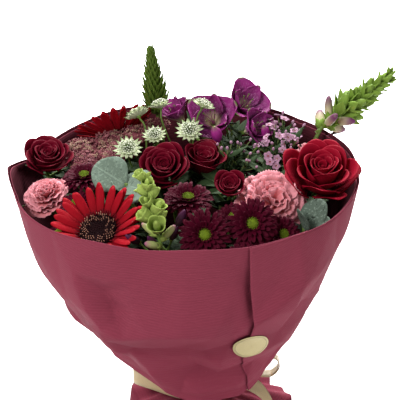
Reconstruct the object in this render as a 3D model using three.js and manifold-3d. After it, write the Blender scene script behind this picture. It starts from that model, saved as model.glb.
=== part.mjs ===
// A hand-tied bouquet of mixed cut flowers in two sheets of ribbed paper, with a paper skirt, a satin
// ribbon and an oval seal. It stands on its cut stem ends and on the skirt's hem. Millimetres, +Z up, X to
// the right and Y to the back as seen from the side where the paper overlaps. The origin is on the ground,
// under the middle stem.
import * as THREE from 'three';
import { mergeVertices } from 'three/addons/utils/BufferGeometryUtils.js';
import Module from 'manifold-3d';

// Driving dimensions of the bundle and its paper.
const TIE_Z = 125;
const BIND_HALF = 12;
const STEM_R = 2.4;
const STEM_PITCH = 5.2;
const FOOT_SPREAD = 3.3;
const FOOT_TWIST = 50;
const PAPER = 0.8;
const RIM_Z = 390;
const TIE_PAPER_R = 22.6;
const RIBBON_WIDE = 22;
const GAP = 0.35;
const DAISY_BORE = 4.6;

const TAU = 2 * Math.PI;
const rad = (degrees) => (degrees * Math.PI) / 180;
const mix = (a, b, t) => a + (b - a) * t;
const clamp = (x, low, high) => Math.min(high, Math.max(low, x));
const vec = (x, y, z) => new THREE.Vector3(x, y, z);

const wasm = await Module();
wasm.setup();

// Repeatable draws, so that the same flower comes out each time.
function draws(seed) {
  let state = seed;
  return () => {
    state = (state * 16807) % 2147483647;
    return state / 2147483647;
  };
}

// A closed geometry as a solid with its faces turned out.
function solid(geometry) {
  const bare = new THREE.BufferGeometry().setAttribute('position', geometry.getAttribute('position'));
  if (geometry.index) bare.setIndex(geometry.index);
  const merged = mergeVertices(bare, 1e-3);
  const make = (triVerts) => new wasm.Manifold(
    new wasm.Mesh({ numProp: 3, vertProperties: merged.attributes.position.array, triVerts }));
  const faces = new Uint32Array(merged.index.array);
  const made = make(faces);
  return made.volume() < 0 ? make(faces.reverse()) : made;
}

// All the solids as one body. A scrap that hangs on to nothing is dropped.
function fuse(pieces) {
  let list = [...pieces];
  while (list.length > 1) {
    const next = [];
    for (let i = 0; i < list.length; i += 2) next.push(list[i + 1] ? list[i].add(list[i + 1]) : list[i]);
    list = next;
  }
  return list[0].decompose().sort((a, b) => b.volume() - a.volume())[0];
}

function meshOf(name, manifold, material) {
  const { vertProperties, triVerts } = manifold.getMesh();
  const geometry = new THREE.BufferGeometry()
    .setAttribute('position', new THREE.BufferAttribute(vertProperties, 3))
    .setIndex(new THREE.BufferAttribute(triVerts, 1));
  geometry.computeVertexNormals();
  const mesh = new THREE.Mesh(geometry, material);
  mesh.name = name;
  return mesh;
}

// Basic shapes, each closed.

function faceted(points, faces) {
  return new THREE.BufferGeometry()
    .setAttribute('position', new THREE.Float32BufferAttribute(points.flat(), 3))
    .setIndex(faces.flat());
}

// A closed skin over rings of points of equal count. A first or last ring of one point is a tip.
function loft(rings) {
  const faces = [];
  let start = 0;
  rings.slice(1).forEach((ring, n) => {
    const [low, next] = [rings[n].length, start + rings[n].length];
    const count = Math.max(low, ring.length);
    for (let k = 0; k < count; k++) {
      const l = (k + 1) % count;
      if (low === 1) faces.push([start, next + k, next + l]);
      else if (ring.length === 1) faces.push([start + k, next, start + l]);
      else faces.push([start + k, next + k, start + l], [start + l, next + k, next + l]);
    }
    start = next;
  });
  for (let k = 1; k < rings[0].length - 1; k++) faces.push([0, k, k + 1]);
  for (let k = 1; k < rings.at(-1).length - 1; k++) faces.push([start, start + k + 1, start + k]);
  return faceted(rings.flat(), faces);
}

// A round rod through the points, bent at each. A rod that starts on the ground is cut off level there.
function rod(points, radius, sides = 5) {
  const reach = points.at(-1).clone().sub(points[0]).normalize();
  const guide = Math.abs(reach.x) > 0.8 ? vec(0, 1, 0) : vec(1, 0, 0);
  return solid(loft(points.map((point, i) => {
    const before = points[Math.max(0, i - 1)];
    const after = points[Math.min(points.length - 1, i + 1)];
    const way = after.clone().sub(before).normalize();
    const across = guide.clone().addScaledVector(way, -guide.dot(way)).normalize();
    const other = way.clone().cross(across);
    return ringOf(sides, (angle) => {
      const place = point.clone().addScaledVector(across, radius * Math.cos(angle))
        .addScaledVector(other, radius * Math.sin(angle));
      if (i === 0 && point.z === 0) place.addScaledVector(way, -place.z / way.z);
      return place.toArray();
    });
  })));
}

// The petals of a flower as one thin body on Z. Each has an outline of [turn in sectors, radius, height]
// between two notches, and a rib that stands off it. The middle is a plug, or has a bore with as many
// corners as given.
function corolla({ count, bore = [1, 0], top, bottom, petal, thick = 1.2 }) {
  const [points, faces] = [[], []];
  const spot = (turn, r, z) => {
    const angle = (TAU * turn) / count;
    return points.push([r * Math.cos(angle), r * Math.sin(angle), z]) - 1;
  };
  const [corners, inside] = bore;
  const inner = Array.from({ length: corners }, (_, j) => {
    const turn = (count / corners) * (j + 0.5) - 0.5;
    return [spot(turn, inside, top), spot(turn, inside, bottom)];
  });
  const notches = Array.from({ length: count }, (_, i) => spot(i - 0.5, ...petal(i).notch));
  for (let i = 0; i < count; i++) {
    const { edge, rib: [turn, r, z] } = petal(i);
    const [ribTop, ribBottom] = [spot(i + turn, r, z + thick / 2), spot(i + turn, r, z - thick / 2)];
    const [first, last] = [notches[i], notches[(i + 1) % count]];
    const loop = [first, ...edge.map(([t, er, ez]) => spot(i + t, er, ez)), last];
    loop.slice(1).forEach((to, k) => faces.push([ribTop, loop[k], to], [ribBottom, to, loop[k]]));
    const [up, down] = inner[Math.floor((i * corners) / count)];
    const [nextUp, nextDown] = inner[Math.floor((((i + 1) % count) * corners) / count)];
    faces.push([up, first, ribTop], [up, ribTop, last], [down, ribBottom, first], [down, last, ribBottom]);
    if (nextUp !== up) {
      faces.push([up, last, nextUp], [down, nextDown, last]);
      faces.push([up, nextUp, nextDown], [up, nextDown, down]);
    }
  }
  return faceted(points, faces);
}

// A flat-edged star round Z: tips and notches by turns, with a point above and one below.
function starlet(rays, tip, notch, top, bottom) {
  const rim = ringOf(2 * rays, (angle, i) => {
    const [r, z] = i % 2 ? notch : tip;
    return [r * Math.cos(angle), r * Math.sin(angle), z];
  });
  return loft([[[0, 0, bottom]], rim, [[0, 0, top]]]);
}

// A sheet of even thickness on the surface at(u, v), u and v from 0 to 1. A ring joins u = 1 to u = 0.
function sheet({ at, across, along, thick, ring = false }) {
  const step = 1e-3;
  const columns = ring ? across : across + 1;
  const layers = [thick / 2, -thick / 2].map((offset) => {
    const rows = [];
    for (let j = 0; j <= along; j++) {
      for (let i = 0; i < columns; i++) {
        const [u, v] = [i / across, j / along];
        const du = at(u + step, v).sub(at(u - step, v));
        const dv = at(u, Math.min(1, v + step)).sub(at(u, Math.max(0, v - step)));
        rows.push(at(u, v).addScaledVector(du.cross(dv).normalize(), offset).toArray());
      }
    }
    return rows;
  });
  const count = layers[0].length;
  const id = (layer, i, j) => layer * count + j * columns + (i % columns);
  const faces = [];
  const quad = (a, b, c, d) => faces.push([a, b, c], [a, c, d]);
  for (let j = 0; j < along; j++) {
    for (let i = 0; i < across; i++) {
      quad(id(0, i, j), id(0, i + 1, j), id(0, i + 1, j + 1), id(0, i, j + 1));
      faces.push([id(1, i, j), id(1, i + 1, j + 1), id(1, i + 1, j)],
          [id(1, i, j), id(1, i, j + 1), id(1, i + 1, j + 1)]);
    }
  }
  for (let i = 0; i < across; i++) {
    quad(id(1, i, 0), id(1, i + 1, 0), id(0, i + 1, 0), id(0, i, 0));
    quad(id(0, i, along), id(0, i + 1, along), id(1, i + 1, along), id(1, i, along));
  }
  for (let j = 0; j < along && !ring; j++) {
    quad(id(0, 0, j), id(0, 0, j + 1), id(1, 0, j + 1), id(1, 0, j));
    quad(id(1, across, j), id(1, across, j + 1), id(0, across, j + 1), id(0, across, j));
  }
  return faceted(layers.flat(), faces);
}

function ringOf(count, make) {
  return Array.from({ length: count }, (_, i) => make((TAU * i) / count, i));
}

// A round body about Z from [radius, height] pairs that start and end on the axis, or close on themselves.
function turned(profile, sides) {
  const points = profile.map(([r, z]) => new THREE.Vector2(r, z));
  return new THREE.LatheGeometry(points, sides).rotateX(Math.PI / 2);
}

// Where a bloom sits and which way it faces: leaning so many degrees from upright, towards a bearing from
// +X.
function frameOf({ at, lean = 0, toward = 270, spin = 0 }) {
  return new THREE.Matrix4().makeTranslation(...at)
    .multiply(new THREE.Matrix4().makeRotationZ(rad(toward)))
    .multiply(new THREE.Matrix4().makeRotationY(rad(lean)))
    .multiply(new THREE.Matrix4().makeRotationZ(rad(spin - toward)));
}
const turnedTo = (angle) => new THREE.Matrix4().makeRotationZ(angle);
const facing = (spot) => vec(0, 0, 1).transformDirection(frameOf(spot));
const below = (spot, depth) => vec(...spot.at).addScaledVector(facing(spot), -depth);
const put = (geometry, ...matrices) => solid(
    matrices.reduceRight((g, m) => g.applyMatrix4(m), geometry.clone()));

// The turn that takes Z to a direction, with a place.
function along(at, direction) {
  const turn = new THREE.Quaternion().setFromUnitVectors(vec(0, 0, 1), direction.clone().normalize());
  return new THREE.Matrix4().compose(at.clone(), turn, vec(1, 1, 1));
}

// The bundle: stems stand in a six-sided packing where they are tied, and fan out above and below it.

function slot(ring, place) {
  if (ring === 0) return [0, 0];
  const corner = (k) => [ring * STEM_PITCH * Math.cos(rad(60 * k)),
      ring * STEM_PITCH * Math.sin(rad(60 * k))];
  const side = Math.floor(place / ring);
  const share = (place % ring) / ring;
  const [a, b] = [corner(side), corner(side + 1)];
  return [mix(a[0], b[0], share), mix(a[1], b[1], share)];
}

// A stem from its cut end through the tie to the point it carries, arriving along the given direction.
// Stems from the middle of the tie rise further before they lean out, so that none crosses another.
function stem([ring, place], head, direction, { radius = STEM_R, reach = 26, sides = 5 } = {}) {
  const [x, y] = slot(ring, place);
  const [low, high] = [TIE_Z - BIND_HALF, TIE_Z + BIND_HALF + 6 * (3 - ring)];
  const points = [1, 0.5].map((share) => {
    const grown = 1 + (FOOT_SPREAD - 1) * share;
    const turn = rad(FOOT_TWIST * share);
    return vec(grown * (x * Math.cos(turn) - y * Math.sin(turn)),
        grown * (x * Math.sin(turn) + y * Math.cos(turn)),
      low * (1 - share));
  });
  const shoulder = head.clone().addScaledVector(direction, -reach).multiply(vec(0.94, 0.94, 1));
  const middle = vec(x, y, high).lerp(shoulder, 0.4).add(vec(0, 0, 18 - 5 * ring));
  return rod([...points, vec(x, y, low), vec(x, y, high), middle, shoulder, head.clone()], radius, sides);
}

// A leaf along a direction: a thin blade with a raised rib, its widest places given as [share of length,
// share of width].
function leaf({ at, direction, length, width, bow = 0.16, spin = 0, wide = [[0.3, 0.85], [0.64, 0.92]],
    thick = 1.2 }) {
  const rings = wide.map(([t, w]) => {
    const [half, back] = [(w * width) / 2, bow * length * t * t];
    return [[half, back + 0.2 * half, t * length], [0, back + thick / 2, t * length],
      [-half, back + 0.2 * half, t * length], [0, back - thick / 2, t * length]];
  });
  const blank = loft([[[0, 0, 0]], ...rings, [[0, bow * length, length]]]);
  return put(blank, along(at, direction), turnedTo(rad(spin)));
}

// Blooms. Each function gives the solids of its coloured part in the bloom's own frame, Z facing out.

// Ray petals in two layers. Those that lean on the paper, on the pressed bearing, stand up and look
// shorter.
function gerberaPetals(frame, radius, count, pressed) {
  const petal = (i) => {
    const squeeze = Math.max(0, Math.cos((TAU * i) / count - rad(pressed))) ** 3;
    const [size, lift] = i % 2 ? [0.87 - 0.14 * squeeze, 3.6] : [1 - 0.2 * squeeze, 0.4];
    const at = (turn, share, rise) => [
        turn, share * radius, lift + rise + 0.5 * squeeze * radius * Math.max(0, share - 0.45)];
    return {
      notch: [0.3 * radius, 0.6],
      rib: at(0, mix(0.68, 0.5, squeeze) * size, 1.1),
      edge: [at(-0.62, 0.58, 0), at(-0.5, 0.9 * size, 0.2), at(0, size, -1), at(0.5, 0.9 * size, 0.2),
          at(0.62, 0.58, 0)]
    };
  };
  return [put(corolla({ count, top: 0.9, bottom: -3, petal }), frame)];
}

function gerberaDisc(frame, radius) {
  const base = 3.7;
  const dome = turned([[0, base - 0.9], [0.25 * radius, base + 1], [0.43 * radius, base + 2.6],
      [0.4 * radius, base + 4.6],
    [0.22 * radius, base + 6.4], [0, base + 3.6]], 10);
  const floret = new THREE.ConeGeometry(2.2, 5, 3).rotateX(Math.PI / 2);
  const florets = ringOf(14, (angle) => put(floret, frame, turnedTo(angle),
    new THREE.Matrix4().makeTranslation(0.33 * radius, 0, base + 6)));
  return [put(dome, frame), ...florets];
}

function daisyPetals(frame, radius, count) {
  const petal = (i) => {
    const [size, lift] = i % 2 ? [0.84, 3.4] : [1, -0.4];
    return {
      notch: [0.36 * radius, 0.7],
      rib: [0, 0.7 * size * radius, lift + 0.06 * radius],
      edge: [[-0.58, 0.74 * size * radius, lift + 0.5], [0, size * radius, lift + (i % 2 ? 2 : 0.6)],
        [0.58, 0.74 * size * radius, lift + 0.5]]
    };
  };
  return [put(corolla({ count, bore: [count / 2, DAISY_BORE], top: 0.6, bottom: -2.4, petal }), frame)];
}

// The green eye of a chrysanthemum, with the neck that runs down through the petals and the calyx under
// them.
function daisyEye(frame, radius) {
  const eye = Math.max(0.28 * radius, DAISY_BORE + 0.6);
  return put(turned([[0, -9], [4, -3.4], [DAISY_BORE - 1, -2.6], [DAISY_BORE - 1, 1.4], [eye, 2.6],
    [0.6 * eye, 5], [0, 4.6]], 5), frame);
}

// Rose petals: cups of broad petals, each layer smaller and higher. One edge of a petal lies over its
// neighbour.
function rosePetals(frame, radius, layers) {
  return layers.map(([count, reach, rim, spin]) => {
    const at = (turn, share, rise) => [turn, share * reach * radius, (rim + rise) * radius];
    const petal = () => ({
      notch: [0.56 * reach * radius, (rim - 0.26) * radius],
      rib: [0.05, 0.74 * reach * radius, (rim - 0.2) * radius],
      edge: [at(-0.62, 0.86, 0.06), at(-0.34, 0.97, 0.05), at(0.06, 1.06, -0.04), at(0.42, 1.02, -0.03),
          at(0.6, 0.92, -0.06)]
    });
    const middle = (rim - 0.34) * radius;
    return put(corolla({ count, top: middle, bottom: middle - 0.34 * radius, petal, thick: 1.4 }), frame,
        turnedTo(spin));
  });
}

const FULL_ROSE = [[5, 0.96, 0.06, 0], [5, 0.72, 0.22, 0.7], [4, 0.47, 0.32, 1.2], [3, 0.24, 0.38, 0.3]];
const CLOSED_ROSE = [[5, 0.94, 0.08, 0], [4, 0.6, 0.26, 0.7], [3, 0.3, 0.36, 0.2]];

function roseCalyx(spot, radius) {
  const base = -0.62 * radius - GAP;
  const cup = turned([[0, base - 12], [4.4, base - 5], [3.4, base], [0, base]], 5);
  const sepals = starlet(5, [0.6 * radius, base - 7], [3.2, base - 2.2], base - 1, base - 4.5);
  return radius < 28 ? [put(cup, frameOf(spot))] : [put(cup, frameOf(spot)), put(sepals, frameOf(spot))];
}

// Carnation petals: tiers of broad fringed petals, each tier smaller and higher.
function carnationPetals(frame, radius, tiers) {
  return tiers.map(([count, reach, height], tier) => {
    const at = (turn, share, rise) => [turn, share * reach * radius, (height + rise) * radius];
    const petal = () => ({
      notch: [0.5 * reach * radius, (height - 0.18) * radius],
      rib: [0, 0.76 * reach * radius, height * radius],
      edge: [at(-0.6, 0.84, 0.1), at(-0.3, 1, 0.14), at(0, 0.88, -0.06), at(0.3, 1.02, 0.06),
          at(0.58, 0.9, -0.1)]
    });
    const middle = (height - 0.16) * radius;
    return put(corolla({ count, top: middle, bottom: middle - 0.42 * radius, petal, thick: 1.6 }), frame,
        turnedTo(1.7 * tier));
  });
}

function carnationCalyx(spot, radius, tiers) {
  const base = (tiers[0][2] - 0.58) * radius - GAP;
  return put(turned([[0, base - 22], [5.6, base - 12], [6, base - 1], [0, base]], 6), frameOf(spot));
}

// A lily-like bloom: three broad tepals with three narrow ones between them, round a short throat.
function lilyTepals(frame, radius, open) {
  const petal = (i) => {
    const [size, wide, lift] = i % 2 ? [0.9, 0.46, 0.16] : [1, 0.8, 0];
    const at = (turn, share) => [
        turn, share * size * radius * open, (0.5 - 0.45 * open + lift) * share * radius];
    return {
      notch: [0.16 * radius, -0.06 * radius],
      rib: [0, 0.52 * size * radius * open, (0.2 - 0.2 * open + lift * 0.5) * radius],
      edge: [at(-wide, 0.5), at(-0.4 * wide, 0.88), at(0, 1), at(0.4 * wide, 0.88), at(wide, 0.5)]
    };
  };
  return [put(corolla({ count: 6, top: -0.12 * radius, bottom: -0.5 * radius, petal }), frame)];
}

// A bud from base to tip.
function bud(at, direction, length, radius, sides = 4) {
  const ring = (r, z) => ringOf(sides, (angle) => [r * Math.cos(angle), r * Math.sin(angle), z]);
  return put(loft([[[0, 0, 0]], ring(radius, 0.5 * length), ring(0.55 * radius, 0.85 * length),
      [[0, 0, length]]]), along(at, direction));
}

// A many-pointed ruff of bracts round a domed head of florets, on Z.
function pincushion(spot, radius) {
  const frame = frameOf(spot);
  const ruff = starlet(9, [radius, 0.3 * radius], [0.6 * radius, 0.1 * radius], -0.5, -3);
  const crown = starlet(6, [0.56 * radius, 0.34 * radius], [0.36 * radius, 0.5 * radius], 0.7 * radius,
      -0.1 * radius);
  return [put(ruff, frame), put(crown, frame)];
}

const needle = (at, direction, length, width) => put(
  loft([[[0, 0, 0]], ringOf(3, (angle) => [width * 0.5 * Math.cos(angle), width * 0.5 * Math.sin(angle),
      0.35 * length]),
    [[0, 0, length]]]), along(at, direction));

// Materials, by colour.
const paint = (color, roughness = 0.6, metalness = 0) =>
    new THREE.MeshStandardMaterial({ color, roughness, metalness });
const PAPER_PLUM = paint(0x7d3346, 0.75);
const PAPER_LINING = paint(0x702c3e, 0.75);
const GOLD_FOIL = paint(0xc9b27a, 0.35, 0.6);
const SATIN_GOLD = paint(0xb89d70, 0.4);
const TWINE = paint(0xb49a6c, 0.9);
const STEM_GREEN = paint(0x4c6b2c, 0.6);
const LEAF_GREEN = paint(0x35521f, 0.5);
const EUCALYPTUS = paint(0x7f9584, 0.7);
const BRIGHT_RED = paint(0xb4121f, 0.5);
const ROSE_RED = paint(0x98101f, 0.6);
const ROSE_DARK = paint(0x5a0a1c, 0.65);
const CARNATION_PINK = paint(0xe79a9e, 0.7);
const DAISY_WINE = paint(0x4e0c1e, 0.6);
const GERBERA_EYE = paint(0x2b0f10, 0.8);
const LILY_PURPLE = paint(0x7a2a6b, 0.5);
const SEDUM_ROSE = paint(0x8d4a55, 0.8);
const ASTRANTIA_WHITE = paint(0xd5dcba, 0.7);
const WAX_PINK = paint(0xc58fb0, 0.6);
const SNAP_GREEN = paint(0x6d9236, 0.55);
const SPIKE_GREEN = paint(0x46691f, 0.55);

const bouquet = new THREE.Group();
const add = (name, pieces, material) => bouquet.add(meshOf(name, fuse(pieces), material));

// Gerberas: ray petals, the dark disc, and the bare stalk with its green cup.
function addGerbera(name, spot, diameter, place, count, pressed) {
  const frame = frameOf(spot);
  const radius = diameter / 2;
  add(`${name}_petals`, gerberaPetals(frame, radius, count, pressed), BRIGHT_RED);
  add(`${name}_disc`, gerberaDisc(frame, radius), GERBERA_EYE);
  const cup = put(turned([[0, -14], [0.24 * radius, -6.4], [0.1 * radius, -3.6], [0, -3.4]], 7), frame);
  add(`${name}_stem`, [cup, stem(place, below(spot, 11), facing(spot))], STEM_GREEN);
}

// Roses: the bloom, and the stem with its calyx and leaves.
function addRose(name, spot, diameter, place, layers, material, leaves = []) {
  const radius = diameter / 2;
  add(`${name}_bloom`, rosePetals(frameOf(spot), radius, layers), material);
  const pieces = [...roseCalyx(spot, radius), stem(place, below(spot, 0.62 * radius + 8), facing(spot))];
  for (const { down, way, length = 38 } of leaves) {
    pieces.push(leaf({ at: below(spot, 0.62 * radius + down), direction: vec(...way), length,
        width: 0.6 * length }));
  }
  add(`${name}_stem`, pieces, LEAF_GREEN);
}

// Carnations: the ruffled bloom, and the stem with its long calyx.
function addCarnation(name, spot, diameter, place, tiers) {
  const radius = diameter / 2;
  add(`${name}_bloom`, carnationPetals(frameOf(spot), radius, tiers), CARNATION_PINK);
  add(`${name}_stem`, [carnationCalyx(spot, radius, tiers),
      stem(place, below(spot, 0.72 * radius + 18), facing(spot))], STEM_GREEN);
}

// Spray chrysanthemums: a petal ring for each head, and one branched stem that carries the green eyes.
function addDaisySpray(name, fork, place, heads) {
  const forkAt = vec(...fork);
  const pieces = [stem(place, forkAt, forkAt.clone().sub(vec(0, 0, TIE_Z)).normalize())];
  heads.forEach(({ spot, diameter, count = 18 }, i) => {
    const frame = frameOf(spot);
    add(`${name}_bloom_${i + 1}`, daisyPetals(frame, diameter / 2, count), DAISY_WINE);
    pieces.push(daisyEye(frame, diameter / 2));
    const low = below(spot, 20).lerp(forkAt, 0.3);
    pieces.push(rod([forkAt.clone().add(vec(0, 0, -3)), low, below(spot, 7)], 1.5, 3));
  });
  add(`${name}_stem`, pieces, STEM_GREEN);
}

addGerbera('gerbera_front', { at: [-118.6, -96.6, 378.5], lean: 30, toward: 240 }, 106, [3, 12], 24, 228);
addGerbera('gerbera_back', { at: [-104, 118, 390], lean: 48, toward: 112 }, 94, [2, 4], 20, 112);

addRose('rose_center', { at: [-48, -6, 404], lean: 33, toward: 262 }, 58, [1, 3], FULL_ROSE, ROSE_DARK,
    [{ down: 20, way: [-0.9, 0.3, 0.3] }]);
addRose('rose_mid', { at: [-6, 32, 388], lean: 16, toward: 300, spin: 40 }, 48, [0, 0], CLOSED_ROSE,
    ROSE_DARK);
addRose('rose_right', { at: [122, -20, 405], lean: 22, toward: 285, spin: 10 }, 80, [3, 0], FULL_ROSE,
    ROSE_RED);
addRose('rose_left', { at: [-176, 34, 396], lean: 18, toward: 280, spin: 70 }, 50, [2, 6], FULL_ROSE,
    ROSE_DARK);
addRose('rose_small', { at: [23, -37, 394], lean: 30, toward: 270 }, 34, [1, 5], CLOSED_ROSE, ROSE_DARK);

addCarnation('carnation_left', { at: [-178, -18, 378], lean: 26, toward: 235 }, 48, [3, 9],
    [[7, 1, -0.1], [6, 0.72, 0.18], [4, 0.42, 0.36]]);
addCarnation('carnation_right', { at: [70, -51, 386], lean: 38, toward: 285 }, 70, [2, 11],
  [[9, 1, -0.12], [8, 0.8, 0.12], [6, 0.55, 0.32], [4, 0.32, 0.46]]);
addCarnation('carnation_back', { at: [119, 44, 390], lean: 24, toward: 20 }, 50, [3, 1],
    [[7, 1, -0.1], [6, 0.72, 0.18], [4, 0.42, 0.36]]);

addDaisySpray('chrysanthemum_left', [-108, -24, 314], [2, 7], [
  { spot: { at: [-134, -12, 393], lean: 8, toward: 250 }, diameter: 50 },
  { spot: { at: [-142, -43, 376], lean: 26, toward: 220 }, diameter: 42, count: 14 },
  { spot: { at: [-159, -66, 352], lean: 36, toward: 205 }, diameter: 42, count: 14 }]);
addDaisySpray('chrysanthemum_front', [-2, -76, 312], [2, 9], [
  { spot: { at: [-22, -68, 396], lean: 12, toward: 270 }, diameter: 56, count: 20 },
  { spot: { at: [-5, -120, 382], lean: 55, toward: 272 }, diameter: 58, count: 20 },
  { spot: { at: [26, -74, 376], lean: 26, toward: 270 }, diameter: 42, count: 14 }]);
addDaisySpray('chrysanthemum_right', [46, -92, 306], [2, 10], [
  { spot: { at: [45, -107, 388], lean: 55, toward: 272 }, diameter: 58, count: 20 },
  { spot: { at: [77, -99, 370], lean: 50, toward: 300 }, diameter: 46, count: 14 },
  { spot: { at: [36, -139, 362], lean: 40, toward: 280 }, diameter: 44, count: 14 }]);

// A snapdragon spike: buds in a spiral that shrink towards the tip.
function snapdragon(base, tip, count, size, seed, shrink) {
  const draw = draws(seed);
  const axis = tip.clone().sub(base);
  const direction = axis.clone().normalize();
  const side = vec(0, 0, 1).cross(direction).normalize();
  const other = direction.clone().cross(side);
  const pieces = [rod([base.clone().addScaledVector(direction, -6), tip], 2, 4)];
  for (let i = 0; i < count; i++) {
    const share = i / (count - 1);
    const angle = i * rad(137.5);
    const out = side.clone().multiplyScalar(Math.cos(angle)).addScaledVector(other, Math.sin(angle));
    const grown = size * mix(1, shrink, share) * (0.9 + 0.2 * draw());
    const way = out.clone().addScaledVector(direction, mix(0.75, 2.4, share)).normalize();
    pieces.push(bud(base.clone().addScaledVector(axis, 0.94 * share), way, grown, 0.36 * grown));
  }
  return pieces;
}

const LEFT_SNAP = { base: vec(-50, -128, 372), tip: vec(-68, -112, 446) };
add('snapdragon_front', [
  ...snapdragon(LEFT_SNAP.base, LEFT_SNAP.tip, 12, 24, 5, 0.6),
  stem([2, 8], LEFT_SNAP.base, vec(-0.22, -0.3, 1).normalize())], SNAP_GREEN);
const RIGHT_SNAP = { base: vec(126, 86, 400), tip: vec(206, 124, 448) };
add('snapdragon_right', [
  ...snapdragon(RIGHT_SNAP.base, RIGHT_SNAP.tip, 16, 29, 9, 0.5),
  stem([3, 3], RIGHT_SNAP.base, vec(0.2, 0.15, 0.97).normalize())], SNAP_GREEN);

// A tall tapering spike of narrow upright bracts.
function bractSpike(base, tip, count) {
  const axis = tip.clone().sub(base);
  const pieces = [bud(base, axis, axis.length(), 6)];
  for (let i = 0; i < count; i++) {
    const share = i / count;
    const angle = i * rad(137.5);
    const out = vec(Math.cos(angle), Math.sin(angle), 0);
    const at = base.clone().addScaledVector(axis, 0.02 + 0.7 * share)
        .addScaledVector(out, 3.4 * (1 - share));
    const way = out.clone().multiplyScalar(mix(0.5, 0.2, share)).add(vec(-0.06, 0, 1)).normalize();
    pieces.push(needle(at, way, mix(30, 22, share), 6.4));
  }
  return pieces;
}
const SPIKE = { base: vec(-57, 128, 402), tip: vec(-64, 130, 488) };
add('green_spike', [
  ...bractSpike(SPIKE.base, SPIKE.tip, 22),
  stem([3, 6], SPIKE.base.clone().add(vec(0, 0, 3)), vec(-0.05, 0, 1).normalize())], SPIKE_GREEN);

// Peruvian lily: three blooms on a stem with leaves and buds.
const LILY_FORK = vec(30, 78, 352);
const LILY_BLOOMS = [
  { spot: { at: [6, 96, 408], lean: 40, toward: 262, spin: 20 }, diameter: 56, open: 0.8 },
  { spot: { at: [40, 114, 416], lean: 40, toward: 310 }, diameter: 54, open: 0.75 },
  { spot: { at: [50, 84, 402], lean: 55, toward: 320, spin: 40 }, diameter: 46, open: 0.7 },
  { spot: { at: [-32, 104, 410], lean: 30, toward: 190 }, diameter: 40, open: 0.6 }];
const lilyGreen = [stem([2, 2], LILY_FORK, vec(0.2, 0.3, 1).normalize())];
LILY_BLOOMS.forEach(({ spot, diameter, open }, i) => {
  add(`lily_bloom_${i + 1}`, lilyTepals(frameOf(spot), diameter / 2, open), LILY_PURPLE);
  lilyGreen.push(rod([LILY_FORK.clone().add(vec(0, 0, -3)), below(spot, 0.25 * diameter + 16),
      below(spot, 0.25 * diameter + 0.5)], 1.4, 4));
});
for (const [at, size] of [[[12, 64, 396], 22], [[66, 74, 396], 17]]) {
  const tip = vec(...at);
  lilyGreen.push(rod([LILY_FORK.clone().add(vec(0, 0, -2)),
      vec(mix(30, at[0], 0.5), mix(78, at[1], 0.5), 374), tip], 1.3, 3));
  lilyGreen.push(bud(tip.clone().add(vec(0, 0, -2)), vec(-0.25, -0.1, 1), size, 0.32 * size));
}
for (const [bearing, length, rise] of [[250, 50, 55], [300, 46, 40]]) {
  const way = vec(Math.cos(rad(bearing)), Math.sin(rad(bearing)), Math.tan(rad(rise)));
  lilyGreen.push(leaf({ at: LILY_FORK.clone().add(vec(0, 0, -4)), direction: way, length, width: 11 }));
}
add('lily_stem', lilyGreen, LEAF_GREEN);

// Masterwort: two sprays of ruffed heads on thin stalks.
function addMasterwort(name, fork, place, heads) {
  const forkAt = vec(...fork);
  const pieces = [stem(place, forkAt, vec(0, 0, 1), { radius: 2.2 })];
  for (const { spot, diameter } of heads) {
    pieces.push(...pincushion(spot, diameter / 2));
    pieces.push(rod([forkAt.clone().add(vec(0, 0, -3)), below(spot, 20), below(spot, 1.5)], 1.1, 3));
  }
  add(name, pieces, ASTRANTIA_WHITE);
}
addMasterwort('astrantia_left', [-68, 40, 352], [1, 2], [
  { spot: { at: [-87, 20, 409], lean: 25, toward: 262 }, diameter: 34 },
  { spot: { at: [-76, 72, 424], lean: 50, toward: 120 }, diameter: 30 },
  { spot: { at: [-58, 42, 414], lean: 20, toward: 250 }, diameter: 28 }]);
addMasterwort('astrantia_right', [-22, 66, 350], [1, 1], [
  { spot: { at: [-20, 52, 414], lean: 24, toward: 265 }, diameter: 34 },
  { spot: { at: [-52, 84, 428], lean: 30, toward: 110 }, diameter: 28 },
  { spot: { at: [-6, 74, 434], lean: 24, toward: 30 }, diameter: 27 }]);

// Stonecrop: a broad head of low lobes, rough with tufts of small florets, on a branching stalk.
const SEDUM_LOBES = [
  { at: [-136, 40, 386], radius: 21 },
  { at: [-138, 68, 386], radius: 22 },
  { at: [-108, 74, 392], radius: 21 },
  { at: [-106, 46, 390], radius: 20 },
  { at: [-78, 86, 394], radius: 19 },
  { at: [-56, 104, 396], radius: 14 }];
const sedum = SEDUM_LOBES.map(({ at: [x, y, z], radius }, n) => {
  const count = Math.round(0.26 * radius);
  const level = (share, height, row) => ringOf(2 * count, (angle, i) => {
    const tuft = (i + row) % 2 ? 1 : 0.88;
    return [x + share * tuft * radius * Math.cos(angle + n),
        y + share * tuft * radius * Math.sin(angle + n),
      z + height * radius + ((i + row) % 2 ? 1.4 : -1.4)];
  });
  return solid(loft([[[x, y, z - 0.42 * radius]], level(0.98, -0.04, 0), level(0.78, 0.2, 1),
      level(0.42, 0.34, 0), [[x, y, z + 0.36 * radius]]]));
});
add('sedum_head', sedum, SEDUM_ROSE);
const SEDUM_FORK = vec(-98, 62, 348);
const sedumStalks = SEDUM_LOBES.map(({ at: [x, y, z], radius }) => rod([
  SEDUM_FORK.clone().add(vec(0, 0, -4)), vec(x, y, z - 0.42 * radius - 14),
      vec(x, y, z - 0.42 * radius - GAP)], 1.5, 4));
add('sedum_stem', [stem([2, 5], SEDUM_FORK, vec(-0.4, 0.2, 1).normalize()), ...sedumStalks], STEM_GREEN);

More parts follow.
